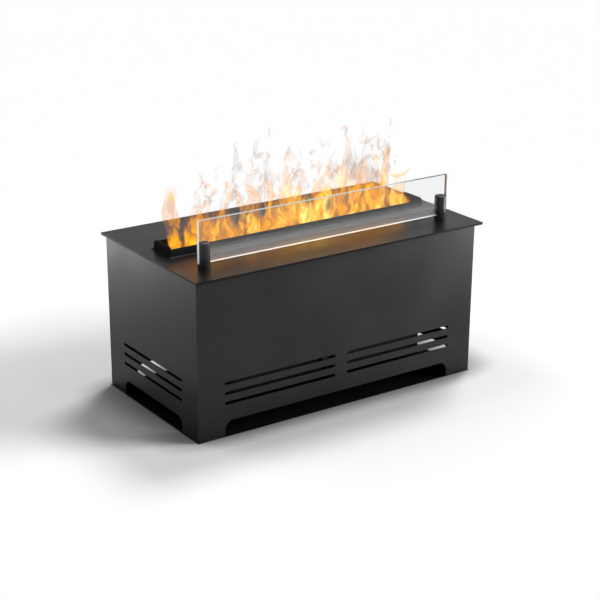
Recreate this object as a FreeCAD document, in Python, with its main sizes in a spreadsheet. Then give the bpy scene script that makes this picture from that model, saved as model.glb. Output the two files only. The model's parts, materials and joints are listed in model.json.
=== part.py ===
"""Water vapour fireplace: a free-standing steel casing with a burner insert hung under its top plate.

Frame: millimetres, +X to the right seen from the front, +Y to the back, +Z up.
The origin is on the floor, under the middle of the top plate.
"""
import FreeCAD, Part
import math
import os

import Sketcher

doc = FreeCAD.newDocument("vapour_fireplace")
sheet = doc.addObject("Spreadsheet::Sheet", "sizes")


# Sizes that carry both their number and the sheet formula that gives it
class Size:
    def __init__(self, value, text):
        self.value = float(value)
        self.text = text

    def __add__(self, other):
        other = as_size(other)
        return Size(self.value + other.value, f"({self.text} + {other.text})")

    def __sub__(self, other):
        other = as_size(other)
        return Size(self.value - other.value, f"({self.text} - {other.text})")

    def __mul__(self, other):
        other = as_size(other)
        return Size(self.value * other.value, f"({self.text} * {other.text})")

    def __truediv__(self, other):
        other = as_size(other)
        return Size(self.value / other.value, f"({self.text} / {other.text})")

    def __radd__(self, other):
        return as_size(other) + self

    def __rsub__(self, other):
        return as_size(other) - self

    def __rmul__(self, other):
        return as_size(other) * self

    def __neg__(self):
        return Size(-self.value, f"(0 - {self.text})")


def as_size(number):
    if isinstance(number, Size):
        return number
    return Size(number, repr(float(number)))


row_count = 0


def size(alias, value, meaning):
    """Write one driving dimension to the sheet and return it."""
    global row_count
    row_count += 1
    sheet.set(f"A{row_count}", meaning)
    sheet.set(f"B{row_count}", str(value))
    sheet.setAlias(f"B{row_count}", alias)
    sheet.recompute()
    return Size(sheet.get(alias), f"sizes.{alias}")


def bind(thing, prop, length):
    thing.setExpression(prop, as_size(length).text)


# Document helpers: bodies, sketches and features bound to the sheet
pieces = []


def keep(thing, label):
    """Name a finished sub-part; its label is also its file name."""
    thing.Label = label
    pieces.append(thing)
    return thing


def new_body(label):
    return keep(doc.addObject("PartDesign::Body", label), label)


def origin_plane(body, role):
    for feature in body.Origin.OriginFeatures:
        if feature.Role == role:
            return feature


def new_sketch(body, role, offset=0):
    """Sketch on an origin plane, moved along the plane's normal (XY: +Z, XZ: -Y, YZ: +X)."""
    sketch = body.newObject("Sketcher::SketchObject", "sketch")
    sketch.AttachmentSupport = (origin_plane(body, role), [""])
    sketch.MapMode = "FlatFace"
    bind(sketch, "AttachmentOffset.Base.z", offset)
    return sketch


def dimension(sketch, kind, geometry, point, length):
    """Signed distance from the sketch origin to a point, bound to the sheet."""
    length = as_size(length)
    number = sketch.addConstraint(Sketcher.Constraint(kind, -1, 1, geometry, point, length.value))
    sketch.setExpression(f"Constraints[{number}]", length.text)


def outline(sketch, corners):
    """Closed outline of level and upright lines; corners are (x, y) or (x, y, radius)."""
    corners = [tuple(as_size(part) for part in corner) for corner in corners]
    count = len(corners)
    place = [FreeCAD.Vector(corner[0].value, corner[1].value, 0) for corner in corners]
    radius = [corner[2] if len(corner) > 2 else None for corner in corners]
    way = [(place[(i + 1) % count] - place[i]).normalize() for i in range(count)]
    trim = [r.value if r else 0.0 for r in radius]
    lines = []
    for i in range(count):
        start = place[i] + way[i] * trim[i]
        end = place[(i + 1) % count] - way[i] * trim[(i + 1) % count]
        lines.append(sketch.addGeometry(Part.LineSegment(start, end), False))
    for i in range(count):
        level = abs(way[i].y) < abs(way[i].x)
        sketch.addConstraint(Sketcher.Constraint("Horizontal" if level else "Vertical", lines[i]))
        dimension(sketch, "DistanceY" if level else "DistanceX", lines[i], 1, corners[i][1 if level else 0])
        before = lines[i - 1]
        if radius[i] is None:
            sketch.addConstraint(Sketcher.Constraint("Coincident", before, 2, lines[i], 1))
        else:
            round_corner(sketch, before, lines[i], place[i], way[i - 1], way[i], radius[i])


def round_corner(sketch, before, after, corner, way_in, way_out, radius):
    """Arc that joins two square lines of an outline."""
    centre = corner - way_in * radius.value + way_out * radius.value
    left_turn = way_in.x * way_out.y - way_in.y * way_out.x > 0
    start_way = -way_out if left_turn else way_in
    start = math.atan2(start_way.y, start_way.x)
    whole = Part.Circle(centre, FreeCAD.Vector(0, 0, 1), radius.value)
    number = sketch.addGeometry(Part.ArcOfCircle(whole, start, start + math.pi / 2), False)
    sketch.addConstraint(Sketcher.Constraint("Tangent", before, 2, number, 1 if left_turn else 2))
    sketch.addConstraint(Sketcher.Constraint("Tangent", after, 1, number, 2 if left_turn else 1))
    name = sketch.addConstraint(Sketcher.Constraint("Radius", number, radius.value))
    sketch.setExpression(f"Constraints[{name}]", radius.text)


def polygon(sketch, points):
    """Closed outline of straight lines at any slant, each corner dimensioned from the origin."""
    points = [(as_size(x), as_size(y)) for x, y in points]
    place = [FreeCAD.Vector(x.value, y.value, 0) for x, y in points]
    count = len(points)
    lines = [sketch.addGeometry(Part.LineSegment(place[i], place[(i + 1) % count]), False) for i in range(count)]
    for i in range(count):
        sketch.addConstraint(Sketcher.Constraint("Coincident", lines[i - 1], 2, lines[i], 1))
        dimension(sketch, "DistanceX", lines[i], 1, points[i][0])
        dimension(sketch, "DistanceY", lines[i], 1, points[i][1])


def rectangle(sketch, left, right, low, high, radius=None):
    corners = [(left, low), (right, low), (right, high), (left, high)]
    if radius is not None:
        corners = [corner + (radius,) for corner in corners]
    outline(sketch, corners)


def circle(sketch, x, y, radius):
    x, y, radius = as_size(x), as_size(y), as_size(radius)
    shape = Part.Circle(FreeCAD.Vector(x.value, y.value, 0), FreeCAD.Vector(0, 0, 1), radius.value)
    number = sketch.addGeometry(shape, False)
    name = sketch.addConstraint(Sketcher.Constraint("Radius", number, radius.value))
    sketch.setExpression(f"Constraints[{name}]", radius.text)
    dimension(sketch, "DistanceX", number, 3, x)
    dimension(sketch, "DistanceY", number, 3, y)


def pad(body, sketch, length, backwards=False):
    feature = body.newObject("PartDesign::Pad", "pad")
    feature.Profile = sketch
    feature.Reversed = backwards
    bind(feature, "Length", length)
    body.Tip = feature
    return feature


def pocket_through(body, sketch):
    """Cut right through the body, both ways from the sketch."""
    feature = body.newObject("PartDesign::Pocket", "pocket")
    feature.Profile = sketch
    feature.Type = "ThroughAll"
    feature.SideType = "Symmetric"
    body.Tip = feature
    return feature


def pocket_down(body, sketch, depth, backwards=False):
    feature = body.newObject("PartDesign::Pocket", "pocket")
    feature.Profile = sketch
    feature.Reversed = backwards
    bind(feature, "Length", depth)
    body.Tip = feature
    return feature


def repeat(body, feature, sketch, axis, step, count):
    """Copies of a feature in a row along a sketch axis (H_Axis or V_Axis)."""
    row = body.newObject("PartDesign::LinearPattern", "row")
    row.Originals = [feature]
    row.Direction = (sketch, [axis])
    row.Mode = "Spacing"
    row.Occurrences = count
    bind(row, "Offset", step)
    body.Tip = row
    return row


def soften(body, edges, radius):
    """Round the edges of the body's last feature that a test picks out."""
    doc.recompute()
    base = body.Tip
    names = [f"Edge{i + 1}" for i, edge in enumerate(base.Shape.Edges) if edges(edge)]
    feature = body.newObject("PartDesign::Fillet", "fillet")
    feature.Base = (base, names)
    bind(feature, "Radius", radius)
    body.Tip = feature
    return feature


# Driving sizes: top plate and casing
slit_length = size("slit_length", 500, "mist slit, side to side")
collar_margin = size("collar_margin", 25, "outlet collar beyond each end of the slit")
casing_margin = size("casing_margin", 25, "casing beyond each end of the collar")
casing_depth = size("casing_depth", 314, "casing, front to back")
plate_side = size("plate_side", 7.5, "top plate beyond each side of the casing")
plate_front = size("plate_front", 14.5, "top plate beyond the casing's front")
plate_back = size("plate_back", 6.5, "top plate beyond the casing's back")
plate_thick = size("plate_thick", 4, "top plate thickness")
plate_corner = size("plate_corner", 1.5, "top plate corner radius")
casing_height = size("casing_height", 292.5, "floor to the underside of the top plate")
sheet_thick = size("sheet_thick", 2, "casing sheet")
panel_lip = size("panel_lip", 10, "inward lip at the top of the front and back panels")
foot_width = size("foot_width", 54, "foot at each end of a panel")
arch_height = size("arch_height", 28.5, "foot arch height")
arch_radius = size("arch_radius", 17, "foot arch top corners")
slot_height = size("slot_height", 6, "vent slot height")
slot_radius = size("slot_radius", 2, "vent slot corner radius")
slot_first = size("slot_first", 61.5, "lowest vent slot centre above the floor")
slot_pitch = size("slot_pitch", 18.5, "vent slot spacing")
slot_bridge = size("slot_bridge", 26, "metal left between the two front slot groups")
SLOTS = 3

collar_length = slit_length + collar_margin * 2
casing_width = collar_length + casing_margin * 2
plate_width = casing_width + plate_side * 2
plate_depth = casing_depth + plate_front + plate_back
plate_top = casing_height + plate_thick
casing_shift = (plate_front - plate_back) / 2
front_face = casing_shift - casing_depth / 2
back_face = casing_shift + casing_depth / 2
front_inside = front_face + sheet_thick
back_inside = back_face - sheet_thick
side_inside = casing_width / 2 - sheet_thick


# Solid helpers: blocks, rods and their cuts, bound to the sheet
def block(x, y, z):
    """Box between (low, high) pairs."""
    box = doc.addObject("Part::Box", "block")
    for prop, axis, (low, high) in zip(("Length", "Width", "Height"), "xyz", (x, y, z)):
        bind(box, prop, as_size(high) - low)
        bind(box, f"Placement.Base.{axis}", low)
    return box


TURN = {"z": (FreeCAD.Vector(0, 0, 1), 0), "x": (FreeCAD.Vector(0, 1, 0), 90), "y": (FreeCAD.Vector(1, 0, 0), -90)}


def set_place(thing, x, y, z, axis):
    """Stand a thing made along +Z at a point, pointing along +X, +Y or +Z."""
    thing.Placement = FreeCAD.Placement(FreeCAD.Vector(), FreeCAD.Rotation(*TURN[axis]))
    bind(thing, "Placement.Base.x", x)
    bind(thing, "Placement.Base.y", y)
    bind(thing, "Placement.Base.z", z)
    return thing


def rod(x, y, z, radius, length, axis="z"):
    """Cylinder from a point, along +X, +Y or +Z."""
    solid = doc.addObject("Part::Cylinder", "rod")
    bind(solid, "Radius", radius)
    bind(solid, "Height", length)
    return set_place(solid, x, y, z, axis)


def tube(x, y, z, outer, inner, length, axis="z"):
    return cut(rod(x, y, z, outer, length, axis), rod(x, y, z, inner, length, axis))


def hexagon(x, y, z, across, height, axis="z"):
    """Six-sided prism, its size given across the flats."""
    solid = doc.addObject("Part::Prism", "hexagon")
    solid.Polygon = 6
    bind(solid, "Circumradius", across / math.sqrt(3))
    bind(solid, "Height", height)
    return set_place(solid, x, y, z, axis)


def cut(base, *tools):
    for tool in tools:
        feature = doc.addObject("Part::Cut", "cut")
        feature.Base = base
        feature.Tool = tool
        base = feature
    return base


def fuse(*solids):
    """Join solids into one, two at a time."""
    whole = solids[0]
    for solid in solids[1:]:
        feature = doc.addObject("Part::Fuse", "fuse")
        feature.Base = whole
        feature.Tool = solid
        whole = feature
    return whole


def group(label, solids):
    """Several separate solids that share one name."""
    feature = doc.addObject("Part::Compound", label)
    feature.Links = list(solids)
    return keep(feature, label)


# Driving sizes: the insert under the top plate
housing_front_gap = size("housing_front_gap", 36, "housing behind the front panel")
housing_back_gap = size("housing_back_gap", 14, "housing in front of the back panel")
housing_edge = size("housing_edge", 3, "housing beyond the service opening")
housing_base = size("housing_base", 47, "floor to the underside of the housing")
housing_sheet = size("housing_sheet", 1.5, "insert sheet")
supply_depth = size("supply_depth", 40, "power supply, front to back")
supply_gap = size("supply_gap", 5, "power supply behind the housing's front wall")
supply_room = size("supply_room", 9.5, "tank behind the power supply")
tank_width = size("tank_width", 300, "water tank, side to side")
tank_height = size("tank_height", 50, "water tank height")
tank_wall = size("tank_wall", 2.5, "water tank wall")
tank_inset = size("tank_inset", 24, "tank's rear wall inside the housing's rear face")
tank_corner = size("tank_corner", 8, "water tank upright corner radius")
tank_room = size("tank_room", 2, "gap round the tank in the housing's rear wall")
runner_height = size("runner_height", 3, "runner under the tank")
neck_height = size("neck_height", 6, "filler neck above the tank")
seal_thick = size("seal_thick", 1, "cap seal thickness")
cap_wall = size("cap_wall", 2.5, "tank cap wall")
cap_grip = size("cap_grip", 4, "ridge across the cap")
inlet_width = size("inlet_width", 22, "mains inlet body, side to side")
inlet_height = size("inlet_height", 29, "mains inlet body height")
inlet_centre = size("inlet_centre", 82, "mains inlet middle above the floor")
switch_width = size("switch_width", 18, "switch body, side to side")
switch_height = size("switch_height", 25, "switch body height")
switch_centre = size("switch_centre", 130, "switch middle above the floor")
plate_flange = size("plate_flange", 3, "inlet and switch flange beyond the body")
service_side = size("service_side", 8, "back panel opening beside the inlet's flange")
service_under = size("service_under", 13.5, "back panel opening under the inlet's flange")
service_over = size("service_over", 3.5, "back panel opening over the switch's flange")
service_web = size("service_web", 4, "back panel metal between tank and service openings")
bay_gap = size("bay_gap", 4, "gap round the tank in the back panel")
slot_web = size("slot_web", 14, "back panel metal between tank opening and slots")
basin_height = size("basin_height", 85.5, "mist basin height")
shelf_room = size("shelf_room", 13, "basin shelf's top above the tank")

tank_side = tank_width / 2
service_width = inlet_width + plate_flange * 2 + service_side * 2
service_x = tank_side + bay_gap + service_web + service_width / 2
service_low = inlet_centre - inlet_height / 2 - plate_flange - service_under
service_high = switch_centre + switch_height / 2 + plate_flange + service_over
housing_front = front_inside + housing_front_gap
housing_back = back_inside - housing_back_gap
housing_side = service_x + service_width / 2 + housing_edge
housing_floor = housing_base + housing_sheet
tank_low = housing_floor + runner_height
tank_high = tank_low + tank_height
neck_top = tank_high + neck_height
cap_roof = neck_top + seal_thick
cap_top = cap_roof + cap_wall + cap_grip
tank_back = housing_back - tank_inset
supply_front = housing_front + housing_sheet + supply_gap
tank_front = supply_front + supply_depth + supply_room
shelf_top = tank_high + shelf_room
housing_top = shelf_top + basin_height


# Casing panels: folded sheet with a foot arch and vent slots
def panel_outline(sketch, low, high):
    """Panel with a foot at each end and an arch with rounded top corners between them."""
    arch_low = low + foot_width
    arch_high = high - foot_width
    outline(sketch, [
        (low, 0), (arch_low, 0), (arch_low, arch_height, arch_radius),
        (arch_high, arch_height, arch_radius), (arch_high, 0), (high, 0),
        (high, casing_height), (low, casing_height)])


def cut_slots(body, role, low, high):
    """Three level slots, one above the other, between two ends."""
    sketch = new_sketch(body, role)
    rectangle(sketch, low, high, slot_first - slot_height / 2, slot_first + slot_height / 2, slot_radius)
    cut = pocket_through(body, sketch)
    repeat(body, cut, sketch, "V_Axis", slot_pitch, SLOTS)


def long_panel(label, outside, inward, lip_from):
    """Front or back panel: full width, with a lip folded in at the top edge."""
    body = new_body(label)
    sketch = new_sketch(body, "XZ_Plane", -outside)
    panel_outline(sketch, -casing_width / 2, casing_width / 2)
    pad(body, sketch, sheet_thick, inward)
    fold = new_sketch(body, "XY_Plane", casing_height)
    rectangle(fold, -side_inside, side_inside, lip_from, lip_from + panel_lip + sheet_thick)
    pad(body, fold, sheet_thick, True)
    return body


def side_panel(label, outside, inward):
    """Left or right panel, between the front and back panels."""
    body = new_body(label)
    sketch = new_sketch(body, "YZ_Plane", outside)
    low = front_inside
    high = back_inside
    arch_low = front_face + foot_width
    arch_high = back_face - foot_width
    outline(sketch, [
        (low, 0), (arch_low, 0), (arch_low, arch_height, arch_radius),
        (arch_high, arch_height, arch_radius), (arch_high, 0), (high, 0),
        (high, casing_height), (low, casing_height)])
    pad(body, sketch, sheet_thick, inward)
    cut_slots(body, "YZ_Plane", arch_low, arch_high)
    return body


slot_reach = casing_width / 2 - foot_width
front_panel = long_panel("front_panel", front_face, True, front_face)
cut_slots(front_panel, "XZ_Plane", -slot_reach, -slot_bridge / 2)
cut_slots(front_panel, "XZ_Plane", slot_bridge / 2, slot_reach)

back_panel = long_panel("back_panel", back_face, False, back_inside - panel_lip)
cut_slots(back_panel, "XZ_Plane", -slot_reach, -tank_side - bay_gap - slot_web)
bay = new_sketch(back_panel, "XZ_Plane")
rectangle(bay, -tank_side - bay_gap, tank_side + bay_gap,
          tank_low - bay_gap, cap_top + bay_gap, bay_gap)
pocket_through(back_panel, bay)
service = new_sketch(back_panel, "XZ_Plane")
rectangle(service, service_x - service_width / 2, service_x + service_width / 2,
          service_low, service_high, bay_gap)
pocket_through(back_panel, service)

side_panel("left_panel", -casing_width / 2, False)
side_panel("right_panel", casing_width / 2, True)


# Corner angles: four upright angles that join the panels inside
angle_leg = size("angle_leg", 18, "corner angle leg")
angle_thick = size("angle_thick", 1.5, "corner angle thickness")
angle_low = size("angle_low", 32, "corner angle lower end above the floor")
angle_top_gap = size("angle_top_gap", 6, "corner angle upper end below the top plate")


def corner_angle(right, back):
    """Angle in one inside corner of the casing."""
    def along(low, leg, forward):
        return (low, low + leg) if forward else (low - leg, low)
    x = side_inside if right else -side_inside
    y = back_inside if back else front_inside
    z = (angle_low, casing_height - angle_top_gap)
    whole = block(along(x, angle_leg, not right), along(y, angle_leg, not back), z)
    x_in = x - angle_thick if right else x + angle_thick
    y_in = y - angle_thick if back else y + angle_thick
    return cut(whole, block(along(x_in, angle_leg, not right), along(y_in, angle_leg, not back), z))


group("corner_angles", [corner_angle(right, back) for right in (False, True) for back in (False, True)])

# Driving sizes: collar, glass and posts on the top plate
collar_depth = size("collar_depth", 60, "outlet collar walls, front to back")
collar_height = size("collar_height", 18, "outlet collar above the top plate")
collar_wall = size("collar_wall", 2, "outlet collar wall")
collar_round = size("collar_round", 9, "outlet collar rolled long edges")
collar_skirt = size("collar_skirt", 8, "outlet collar below the plate's top face")
collar_play = size("collar_play", 1, "gap round the collar in the top plate")
flange_reach = size("flange_reach", 3.2, "collar flange beyond the walls")
flange_thick = size("flange_thick", 1.2, "collar flange thickness")
post_inset = size("post_inset", 52.5, "glass posts in from the plate's sides")
post_setback = size("post_setback", 61.5, "glass posts behind the plate's front edge")
post_radius = size("post_radius", 11, "glass post radius")
post_height = size("post_height", 45, "glass post height")
post_edge = size("post_edge", 0.8, "glass post top edge radius")
glass_thick = size("glass_thick", 6, "glass pane thickness")
glass_height = size("glass_height", 75, "glass pane height")
glass_rise = size("glass_rise", 9, "glass pane's lower edge above the plate")
glass_play = size("glass_play", 0.25, "gap each side of the glass in its slot")
pad_thick = size("pad_thick", 1, "rubber pad under the glass")
screw_radius = size("screw_radius", 3, "post screw shank")
screw_play = size("screw_play", 0.3, "gap round a screw in sheet")
thread_play = size("thread_play", 0.05, "gap round a screw in its thread")
screw_bite = size("screw_bite", 6, "post screw length inside the post")
screw_head = size("screw_head", 4, "post screw head height")
stud_radius = size("stud_radius", 2.5, "hood stud radius")
stud_length = size("stud_length", 9, "hood stud below the plate")
stud_inset = size("stud_inset", 25, "end studs in from the collar's ends")
STUD_COLUMNS = (-2, -1, 0, 1, 2)

post_x = plate_width / 2 - post_inset
post_y = plate_depth / 2 - post_setback
stud_pitch = (collar_length / 2 - stud_inset) / STUD_COLUMNS[-1]

# Driving sizes: mist hood, slit plate and lights
hood_play = size("hood_play", 2, "hood mouth beyond the collar skirt")
hood_straight = size("hood_straight", 25, "upright part of the hood's mouth")
hood_flange = size("hood_flange", 12, "hood flange width")
holder_radius = size("holder_radius", 18, "transducer holder radius")
holder_pitch = size("holder_pitch", 56, "transducer spacing")
float_radius = size("float_radius", 11, "float radius")
float_gap = size("float_gap", 7, "float to the nearest transducer")
float_room = size("float_room", 3, "float to the basin's end wall")
basin_depth = size("basin_depth", 110, "mist basin, front to back")
basin_wall = size("basin_wall", 3, "mist basin wall")
slit_width = size("slit_width", 8, "mist slit, front to back")
slit_rim = size("slit_rim", 14, "depth of the slit plate's folded rim")
rim_play = size("rim_play", 0.3, "gap round the slit plate in the hood")
bar_short = size("bar_short", 5, "light bar short of each end of the slit")
bar_depth = size("bar_depth", 10, "light bar, front to back")
bar_height = size("bar_height", 10, "light bar height")
bar_gap = size("bar_gap", 10, "light bar to the middle of the slit")
strip_thick = size("strip_thick", 1.2, "LED strip thickness")
lens_reach = size("lens_reach", 3, "lens in front of the LED strip")

HOLDER_COLUMNS = (-2, -1, 0, 1, 2)

float_x = holder_pitch * HOLDER_COLUMNS[-1] + holder_radius + float_gap + float_radius
basin_length = (float_x + float_radius + float_room + basin_wall) * 2
bar_length = slit_length - bar_short * 2
mouth_x = collar_length / 2 + hood_play
mouth_y = collar_depth / 2 + hood_play
stud_y = mouth_y + housing_sheet + hood_flange / 2
deck_top = housing_top + housing_sheet
throat = casing_height - hood_straight
slit_top = throat + slit_rim
slit_under = slit_top - housing_sheet

# Top plate: opening for the collar, holes for the post screws, studs for the hood
top_plate = new_body("top_plate")
plate_sketch = new_sketch(top_plate, "XY_Plane", casing_height)
rectangle(plate_sketch, -plate_width / 2, plate_width / 2, -plate_depth / 2, plate_depth / 2, plate_corner)
pad(top_plate, plate_sketch, plate_thick)
mouth_sketch = new_sketch(top_plate, "XY_Plane", casing_height)
rectangle(mouth_sketch, -collar_length / 2 - collar_play, collar_length / 2 + collar_play,
          -collar_depth / 2 - collar_play, collar_depth / 2 + collar_play)
pocket_through(top_plate, mouth_sketch)
hole_sketch = new_sketch(top_plate, "XY_Plane", casing_height)
circle(hole_sketch, post_x, -post_y, screw_radius + screw_play)
circle(hole_sketch, -post_x, -post_y, screw_radius + screw_play)
pocket_through(top_plate, hole_sketch)
stud_sketch = new_sketch(top_plate, "XY_Plane", casing_height)
for column in STUD_COLUMNS:
    circle(stud_sketch, stud_pitch * column, stud_y, stud_radius)
    circle(stud_sketch, stud_pitch * column, -stud_y, stud_radius)
pad(top_plate, stud_sketch, stud_length, True)

# Outlet collar: a rim with rolled long edges, a skirt into the plate and a thin flange on it
outlet_collar = new_body("outlet_collar")
rim_sketch = new_sketch(outlet_collar, "XY_Plane", plate_top - collar_skirt)
rectangle(rim_sketch, -collar_length / 2, collar_length / 2, -collar_depth / 2, collar_depth / 2)
pad(outlet_collar, rim_sketch, collar_skirt + collar_height)
collar_top = (plate_top + collar_height).value
soften(outlet_collar, lambda edge: edge.BoundBox.XLength > 1 and edge.BoundBox.ZMin > collar_top - 0.01
       and edge.BoundBox.YLength < 1e-6, collar_round)
bore_sketch = new_sketch(outlet_collar, "XY_Plane", plate_top)
rectangle(bore_sketch, collar_wall - collar_length / 2, collar_length / 2 - collar_wall,
          collar_wall - collar_depth / 2, collar_depth / 2 - collar_wall)
pocket_through(outlet_collar, bore_sketch)
flange_sketch = new_sketch(outlet_collar, "XY_Plane", plate_top)
rectangle(flange_sketch, -collar_length / 2 - flange_reach, collar_length / 2 + flange_reach,
          -collar_depth / 2 - flange_reach, collar_depth / 2 + flange_reach)
rectangle(flange_sketch, collar_wall / 2 - collar_length / 2, collar_length / 2 - collar_wall / 2,
          collar_wall / 2 - collar_depth / 2, collar_depth / 2 - collar_wall / 2)
pad(outlet_collar, flange_sketch, flange_thick)

# Glass pane, its slotted posts, pads and screws
glass_end = post_x + post_radius
slot_floor = plate_top + glass_rise - pad_thick
glass_pane = new_body("glass_pane")
glass_sketch = new_sketch(glass_pane, "XZ_Plane", post_y - glass_thick / 2)
rectangle(glass_sketch, -glass_end, glass_end, plate_top + glass_rise, plate_top + glass_rise + glass_height)
pad(glass_pane, glass_sketch, glass_thick)


def glass_post(label, x):
    """Round post with a slot for the glass from the top and a screw hole from below."""
    body = new_body(label)
    base = new_sketch(body, "XY_Plane", plate_top)
    circle(base, x, -post_y, post_radius)
    pad(body, base, post_height)
    top = (plate_top + post_height).value
    soften(body, lambda edge: edge.BoundBox.ZMin > top - 0.01, post_edge)
    slot = new_sketch(body, "YZ_Plane")
    rectangle(slot, -post_y - glass_thick / 2 - glass_play, -post_y + glass_thick / 2 + glass_play,
              slot_floor, plate_top + post_height + post_edge)
    pocket_through(body, slot)
    hole = new_sketch(body, "XY_Plane", plate_top)
    circle(hole, x, -post_y, screw_radius + thread_play)
    pocket_down(body, hole, screw_bite + pad_thick, True)


glass_post("left_post", -post_x)
glass_post("right_post", post_x)
group("glass_pads", [
    block((x - post_radius * 0.8, x + post_radius * 0.8), (-post_y - glass_thick / 2, glass_thick / 2 - post_y),
          (slot_floor, slot_floor + pad_thick)) for x in (-post_x, post_x)])
group("post_screws", [
    fuse(rod(x, -post_y, casing_height - screw_head, screw_radius * 2, screw_head),
         rod(x, -post_y, casing_height - screw_head, screw_radius, screw_head + plate_thick + screw_bite))
    for x in (-post_x, post_x)])


# Mist hood: a sheet funnel from the basin to the long mouth under the plate
def loft(body, kind, low_sketch, high_sketch):
    feature = body.newObject(kind, "loft")
    feature.Profile = low_sketch
    feature.Sections = [high_sketch]
    feature.Ruled = True
    body.Tip = feature
    return feature


def level_rectangle(body, height, half_x, half_y):
    """Rectangle about the Z axis, at a height."""
    sketch = new_sketch(body, "XY_Plane", height)
    rectangle(sketch, -half_x, half_x, -half_y, half_y)
    return sketch


basin_x = basin_length / 2 - basin_wall
basin_y = basin_depth / 2 - basin_wall
mist_hood = new_body("mist_hood")
loft(mist_hood, "PartDesign::AdditiveLoft",
     level_rectangle(mist_hood, deck_top, basin_x + housing_sheet, basin_y + housing_sheet),
     level_rectangle(mist_hood, throat, mouth_x + housing_sheet, mouth_y + housing_sheet))
pad(mist_hood, level_rectangle(mist_hood, throat, mouth_x + housing_sheet, mouth_y + housing_sheet), hood_straight)
pad(mist_hood, level_rectangle(mist_hood, casing_height, mouth_x + hood_flange, mouth_y + hood_flange + housing_sheet),
    housing_sheet, True)
pad(mist_hood, level_rectangle(mist_hood, deck_top, basin_x + hood_flange, basin_y + hood_flange), housing_sheet)
loft(mist_hood, "PartDesign::SubtractiveLoft",
     level_rectangle(mist_hood, deck_top, basin_x, basin_y), level_rectangle(mist_hood, throat, mouth_x, mouth_y))
pocket_down(mist_hood, level_rectangle(mist_hood, casing_height, mouth_x, mouth_y), hood_straight)
flange_holes = new_sketch(mist_hood, "XY_Plane", casing_height)
for column in STUD_COLUMNS:
    circle(flange_holes, stud_pitch * column, stud_y, stud_radius + screw_play)
    circle(flange_holes, stud_pitch * column, -stud_y, stud_radius + screw_play)
pocket_down(mist_hood, flange_holes, housing_sheet)

nut_across = size("nut_across", 8, "hood nut across the flats")
nut_height = size("nut_height", 4, "hood nut height")
nut_low = casing_height - housing_sheet - nut_height
group("hood_nuts", [
    cut(hexagon(stud_pitch * column, side * stud_y, nut_low, nut_across, nut_height),
        rod(stud_pitch * column, side * stud_y, nut_low, stud_radius + thread_play, nut_height))
    for column in STUD_COLUMNS for side in (-1, 1)])

# Slit plate: a channel that hangs in the hood's mouth, with the long mist slit
slit_plate = new_body("slit_plate")
rim_x = mouth_x - rim_play
rim_y = mouth_y - rim_play
pad(slit_plate, level_rectangle(slit_plate, throat, rim_x, rim_y), slit_rim)
pocket_down(slit_plate, level_rectangle(slit_plate, throat, rim_x - housing_sheet, rim_y - housing_sheet),
            slit_rim - housing_sheet, True)
pocket_through(slit_plate, level_rectangle(slit_plate, slit_top, slit_length / 2, slit_width / 2))


# Lights: a bar, an LED strip and a lens along each side of the slit
def beside_slit(near, far, low, high):
    """The same long block on each side of the slit."""
    x = (-bar_length / 2, bar_length / 2)
    return [block(x, (-far, -near), (low, high)), block(x, (near, far), (low, high))]


bar_low = slit_under - bar_height
group("led_bars", beside_slit(bar_gap, bar_gap + bar_depth, bar_low, slit_under))
group("led_strips", beside_slit(bar_gap - strip_thick, bar_gap, bar_low + strip_thick, slit_under - strip_thick))
lens_far = bar_gap - strip_thick
group("led_lenses", beside_slit(lens_far - lens_reach, lens_far, bar_low + strip_thick, slit_under - strip_thick))

# Housing: an open-topped tray with an air intake in front and openings for tank and sockets behind
fan_x = size("fan_x", -6, "fan axis, side to side")
fan_room = size("fan_room", 3.5, "fan frame above the housing floor")
fan_size = size("fan_size", 40, "fan frame width and height")
fan_bore = size("fan_bore", 18.5, "fan frame bore radius")
socket_play = size("socket_play", 0.3, "gap round inlet and switch in the sheet")
fan_z = housing_floor + fan_size / 2 + fan_room

insert_housing = new_body("insert_housing")
tray_sketch = new_sketch(insert_housing, "XY_Plane", housing_base)
rectangle(tray_sketch, -housing_side, housing_side, housing_front, housing_back)
pad(insert_housing, tray_sketch, housing_top - housing_base)
inside_sketch = new_sketch(insert_housing, "XY_Plane", housing_top)
rectangle(inside_sketch, housing_sheet - housing_side, housing_side - housing_sheet,
          housing_front + housing_sheet, housing_back - housing_sheet)
pocket_down(insert_housing, inside_sketch, housing_top - housing_floor)
intake_sketch = new_sketch(insert_housing, "XZ_Plane", -housing_front)
circle(intake_sketch, fan_x, fan_z, fan_bore)
pocket_down(insert_housing, intake_sketch, housing_sheet)
rear_sketch = new_sketch(insert_housing, "XZ_Plane", -housing_back)
rectangle(rear_sketch, -tank_side - tank_room, tank_side + tank_room,
          housing_floor, cap_top + tank_room)
rectangle(rear_sketch, service_x - inlet_width / 2 - socket_play, service_x + inlet_width / 2 + socket_play,
          inlet_centre - inlet_height / 2 - socket_play, inlet_centre + inlet_height / 2 + socket_play)
rectangle(rear_sketch, service_x - switch_width / 2 - socket_play, service_x + switch_width / 2 + socket_play,
          switch_centre - switch_height / 2 - socket_play, switch_centre + switch_height / 2 + socket_play)
pocket_down(insert_housing, rear_sketch, housing_sheet, True)

housing_deck = new_body("housing_deck")
deck_sketch = new_sketch(housing_deck, "XY_Plane", housing_top)
rectangle(deck_sketch, -housing_side, housing_side, housing_front, housing_back)
rectangle(deck_sketch, -basin_x, basin_x, -basin_y, basin_y)
pad(housing_deck, deck_sketch, housing_sheet)

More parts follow.
